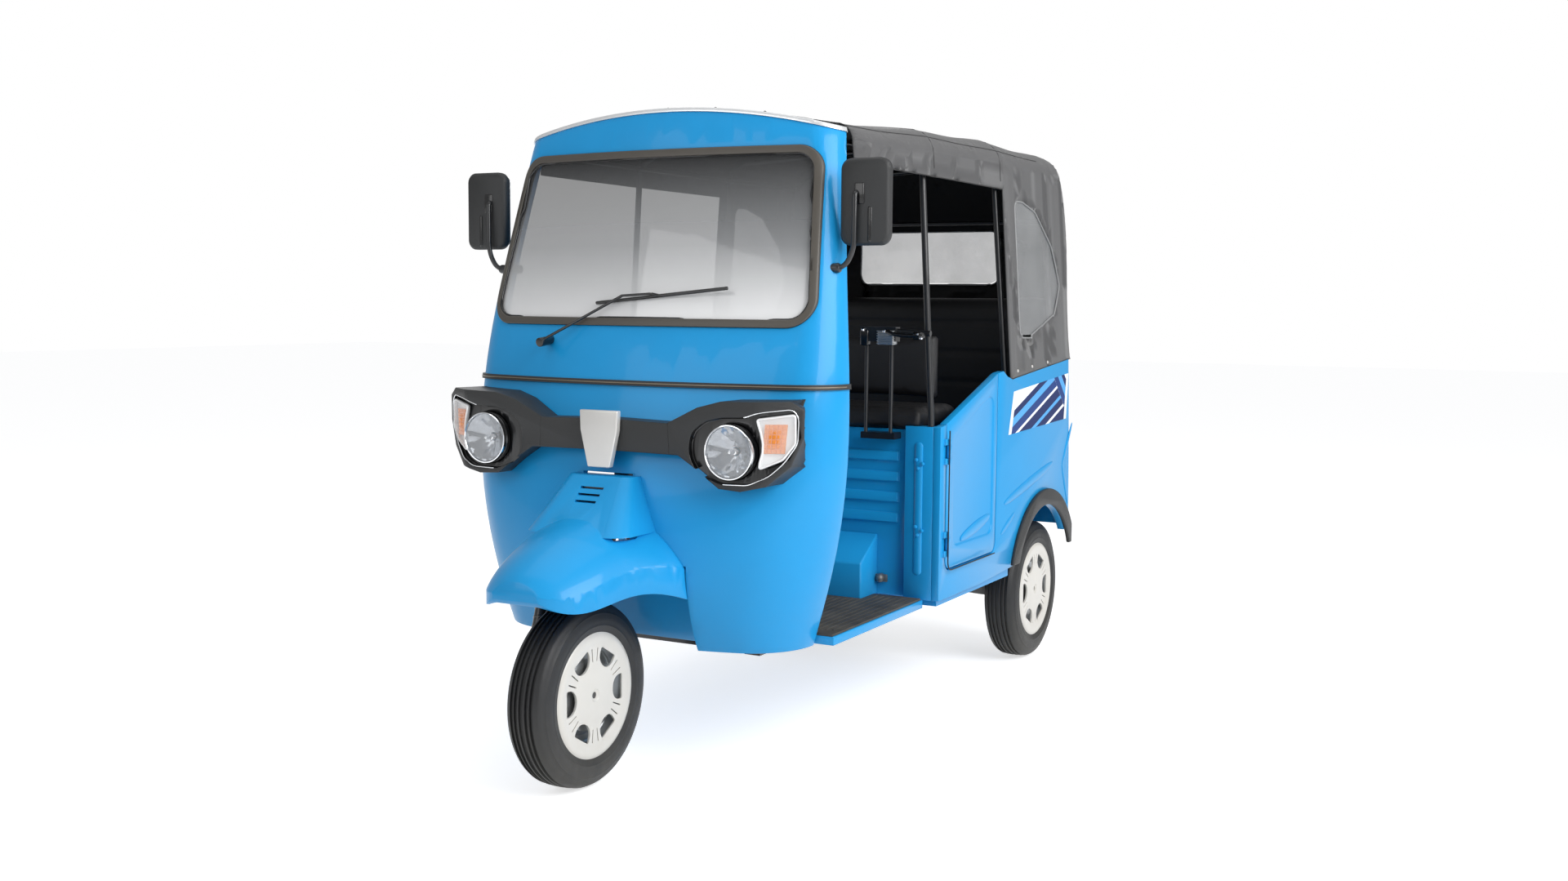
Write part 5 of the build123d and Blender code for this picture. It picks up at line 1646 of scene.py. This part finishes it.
class RICKSHAW_OT_cab(bpy.types.Operator):
    """Adds the mat's ribs, the rods' clamp and lever, the handlebar's grips and levers"""

    bl_idname = "rickshaw.cab"
    bl_label = "Cab"

    def execute(self, context):
        self.mat()
        self.rod_clamp()
        self.handlebar()
        self.footwell()
        return {"FINISHED"}

    def mat(self):
        """Long ribs moulded on the mat, each side of the box in the middle."""
        low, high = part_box("floor_mat")
        box_low, box_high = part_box("floor_box")
        mat = bpy.data.objects["floor_mat_pressed"]
        ribs = []
        x = low.x + 0.03
        while x < high.x - 0.02:
            blocked = box_low.x - 0.02 < x < box_high.x + 0.02
            rear = (box_low.y if blocked else high.y) - 0.03
            top = mat.ray_cast(Vector((x, low.y + 0.10, high.z + 0.3)), Vector((0, 0, -1)))[1].z
            ribs.append(bevelled_box("rib", (x - 0.004, low.y + 0.05, top - 0.001), (x + 0.004, rear, top + 0.0018),
                                     0.0014, 1))
            x += 0.022
        settle(smooth(join("mat_ribs", ribs)), "mat_rubber", "mat_rubber")

    def rod_clamp(self):
        """A ribbed grey clamp on the outer rod with a black lever that ends in a knob, and a cap on the inner one."""
        y = behind(1.030)
        clamp = bevelled_box("rod_clamp", (0.404, y - 0.022, 1.180), (0.456, y + 0.014, 1.224), 0.003, 2)
        ribs = [bevelled_box("rib", (0.402, y - 0.025, 1.183 + 0.0075 * i), (0.458, y - 0.010, 1.1865 + 0.0075 * i),
                             0.001, 1) for i in range(6)]
        settle(smooth(join("rod_clamp_block", [clamp, *ribs])), "rim_steel", "black_steel")
        lever = tube("rod_lever", [(0.432, y - 0.020, 1.222), (0.460, y - 0.028, 1.213), (0.500, y - 0.030, 1.209),
                                   (0.540, y - 0.026, 1.210)], 0.0065, 0.02, 16)
        knob = stud("rod_lever_knob", (0.538, y - 0.026, 1.210), (1, 0, 0), 0.013, 0.026, 24)
        screws = [stud("screw", (x, y - 0.034, z), (0, -1, 0), 0.005, 0.005, 12)
                  for x, z in ((0.433, 1.222), (0.545, 1.214), (0.556, 1.203))]
        settle(join("rod_lever", [lever, knob]), "gloss_black", "black_steel")
        settle(join("rod_lever_screws", screws), "chrome", "black_steel")
        cap = bevelled_box("rod_cap", (0.341, y - 0.016, 1.176), (0.369, y + 0.012, 1.226), 0.005, 3)
        tip = stud("rod_cap_screw", (0.352, y - 0.015, 1.226), (0, -0.6, 0.8), 0.006, 0.006, 14)
        settle(smooth(cap), "gloss_black", "black_steel")
        settle(tip, "chrome", "black_steel")

    def handlebar(self):
        """Grips and levers at the bar's ends."""
        bar = frame["nodes"]["handlebar"]
        points = [vertex.co for vertex in bar.data.vertices]
        for side, word in SIDES:
            tip = max(points, key=lambda p: p.x * side)
            last = [p for p in points if p.x * side > tip.x * side - 0.002]
            end = sum(last, Vector()) / len(last)
            near = [p for p in points if tip.x * side - 0.14 < p.x * side < tip.x * side - 0.08]
            inner = sum(near, Vector()) / len(near) if near else end - Vector((side * 0.11, 0, 0))
            along = (end - inner).normalized()
            start = end - along * 0.112
            rings = [(0.0, 0.0), (0.0, 0.0195), (0.004, 0.021)]
            for i in range(11):
                rings += [(0.007 + 0.009 * i, 0.0185), (0.0115 + 0.009 * i, 0.0172)]
            rings += [(0.108, 0.021), (0.114, 0.0195), (0.116, 0.0)]
            grip = lathe(f"grip_{word}", rings, (0, 0, 0), "Z", 28, False)
            turned = along.to_track_quat("Z", "Y").to_matrix().to_4x4()
            grip.data.transform(Matrix.Translation(start) @ turned)
            settle(grip, "seal_rubber", "black_steel", body="steering")
            lever = tube(f"brake_lever_{word}", [start - along * 0.02 + Vector((0, -0.018, -0.004)),
                                                 start + along * 0.03 + Vector((0, -0.025, -0.006)),
                                                 start + along * 0.085 + Vector((0, -0.027, -0.008)),
                                                 start + along * 0.105 + Vector((0, -0.029, -0.008))], 0.0045, 0.02, 12)
            settle(lever, "gloss_black", "black_steel", body="steering")

    def footwell(self):
        """A small grey foot bolt at the seat box's foot."""
        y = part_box("seat_box")[0].y
        bolt = stud("foot_bolt", (0.395, y + 0.0005, 0.440), (0, -1, 0), 0.014, 0.02, 18)
        washer = bevelled_box("foot_bracket", (0.372, y - 0.006, 0.428), (0.420, y + 0.002, 0.452), 0.003, 2)
        settle(join("foot_bracket", [smooth(washer), bolt]), "engine_metal", "black_steel")


# Rear and underside


class RICKSHAW_OT_rear(bpy.types.Operator):
    """Moulds the tail lamps with their three fields, rims the bare plate and fits the lid's catch"""

    bl_idname = "rickshaw.rear"
    bl_label = "Rear"

    def execute(self, context):
        low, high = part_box("tail_lamps")
        half = (high.x - min(v.co.x for v in frame["nodes"]["tail_lamps"].data.vertices if v.co.x > 0)) / 2
        lamps = softened("tail_lamps", 4 * MM, 3, 40, "tail_lamp_lenses")
        settle(lamps, "tail_lens", "tail_lens", "tail_lamps")
        for side, word in SIDES:
            x = side * (high.x - half)
            lines = []
            for share in (0.36, 0.68):
                z = low.z + (high.z - low.z) * share
                lines.append(bevelled_box("line", (x - half + 0.004, high.y - 0.002, z - 0.0025),
                                          (x + half - 0.004, high.y + 0.0015, z + 0.0025), 0.001, 1))
            settle(join(f"tail_lamp_bars_{word}", lines), "trim_plastic", "tail_lens")
        low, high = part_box("number_plate")
        corners = [(low.x + 0.006, high.y + 0.001, low.z + 0.006), (high.x - 0.006, high.y + 0.001, low.z + 0.006),
                   (high.x - 0.006, high.y + 0.001, high.z - 0.006), (low.x + 0.006, high.y + 0.001, high.z - 0.006)]
        rim = piping("number_plate_rim", rounded(corners, 0.008, 5, True), 0.0016)
        settle(rim, "gloss_black", "plate_metal")
        low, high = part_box("engine_lid")
        catch = bevelled_box("lid_catch", (-0.028, high.y - 0.006, low.z + 0.020),
                             (0.028, high.y + 0.008, low.z + 0.046), 0.004, 3)
        settle(smooth(catch), "gloss_black", "body_paint", body="lid")
        return {"FINISHED"}


class RICKSHAW_OT_springs(bpy.types.Operator):
    """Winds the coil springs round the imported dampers, front and rear"""

    bl_idname = "rickshaw.springs"
    bl_label = "Springs"

    def execute(self, context):
        self.wind("front_coil", frame["nodes"]["front_spring"], "steering", 7, None)
        for side, word in SIDES:
            self.wind(f"rear_coil_{word}", frame["nodes"]["rear_springs"], "chassis", 8, side)
        return {"FINISHED"}

    def wind(self, name, node, body, turns, side):
        points = [v.co.copy() for v in node.data.vertices if side is None or v.co.x * side > 0]
        top = max(p.z for p in points)
        foot = min(p.z for p in points)
        upper = [p for p in points if p.z > top - 0.02]
        lower = [p for p in points if p.z < foot + 0.02]
        start = sum(lower, Vector()) / len(lower)
        end = sum(upper, Vector()) / len(upper)
        axis = (end - start).normalized()
        radius = max((p - start - axis * (p - start).dot(axis)).length for p in points) - 0.0035
        first = axis.orthogonal().normalized()
        second = axis.cross(first)
        length = (end - start).length
        line = []
        for i in range(turns * 20 + 1):
            t = i / (turns * 20)
            angle = 2 * pi * turns * t
            line.append(start + axis * length * (0.10 + 0.80 * t) + (first * cos(angle) + second * sin(angle)) * radius)
        coil = piping(name, line, 0.0048, False)
        settle(coil, "gloss_black", "black_steel", body=body)


STEPS = (
    RICKSHAW_OT_stage,
    RICKSHAW_OT_cad_finishes,
    RICKSHAW_OT_tyres,
    RICKSHAW_OT_wheel_covers,
    RICKSHAW_OT_rims,
    RICKSHAW_OT_body_panels,
    RICKSHAW_OT_side_details,
    RICKSHAW_OT_lamp_mask,
    RICKSHAW_OT_headlamps,
    RICKSHAW_OT_indicators,
    RICKSHAW_OT_front_trim,
    RICKSHAW_OT_windscreen,
    RICKSHAW_OT_mirrors,
    RICKSHAW_OT_hood,
    RICKSHAW_OT_seats,
    RICKSHAW_OT_cab,
    RICKSHAW_OT_rear,
    RICKSHAW_OT_springs,
)


class RICKSHAW_PT_panel(bpy.types.Panel):
    """Lists the steps and what can be changed"""

    bl_idname = "RICKSHAW_PT_panel"
    bl_label = "Rickshaw"
    bl_space_type = "VIEW_3D"
    bl_region_type = "UI"
    bl_category = "Rickshaw"

    def draw(self, context):
        for group in SETTINGS:
            settings = getattr(context.scene, group)
            for name in settings.__annotations__:
                self.layout.prop(settings, name)
        for step in STEPS:
            self.layout.operator(step.bl_idname)


SETTINGS = {"rickshaw_colours": RickshawColours, "rickshaw_sizes": RickshawSizes, "rickshaw_stage": RickshawStage}


def register():
    for group in (*SETTINGS.values(), *STEPS, RICKSHAW_PT_panel):
        bpy.utils.register_class(group)
    for name, group in SETTINGS.items():
        setattr(bpy.types.Scene, name, bpy.props.PointerProperty(type=group))


def unregister():
    for name in SETTINGS:
        delattr(bpy.types.Scene, name)
    for group in reversed((*SETTINGS.values(), *STEPS, RICKSHAW_PT_panel)):
        bpy.utils.unregister_class(group)


def main():
    register()
    for step in STEPS:
        package, operator = step.bl_idname.split(".")
        getattr(getattr(bpy.ops, package), operator)()


if __name__ == "__main__":
    main()
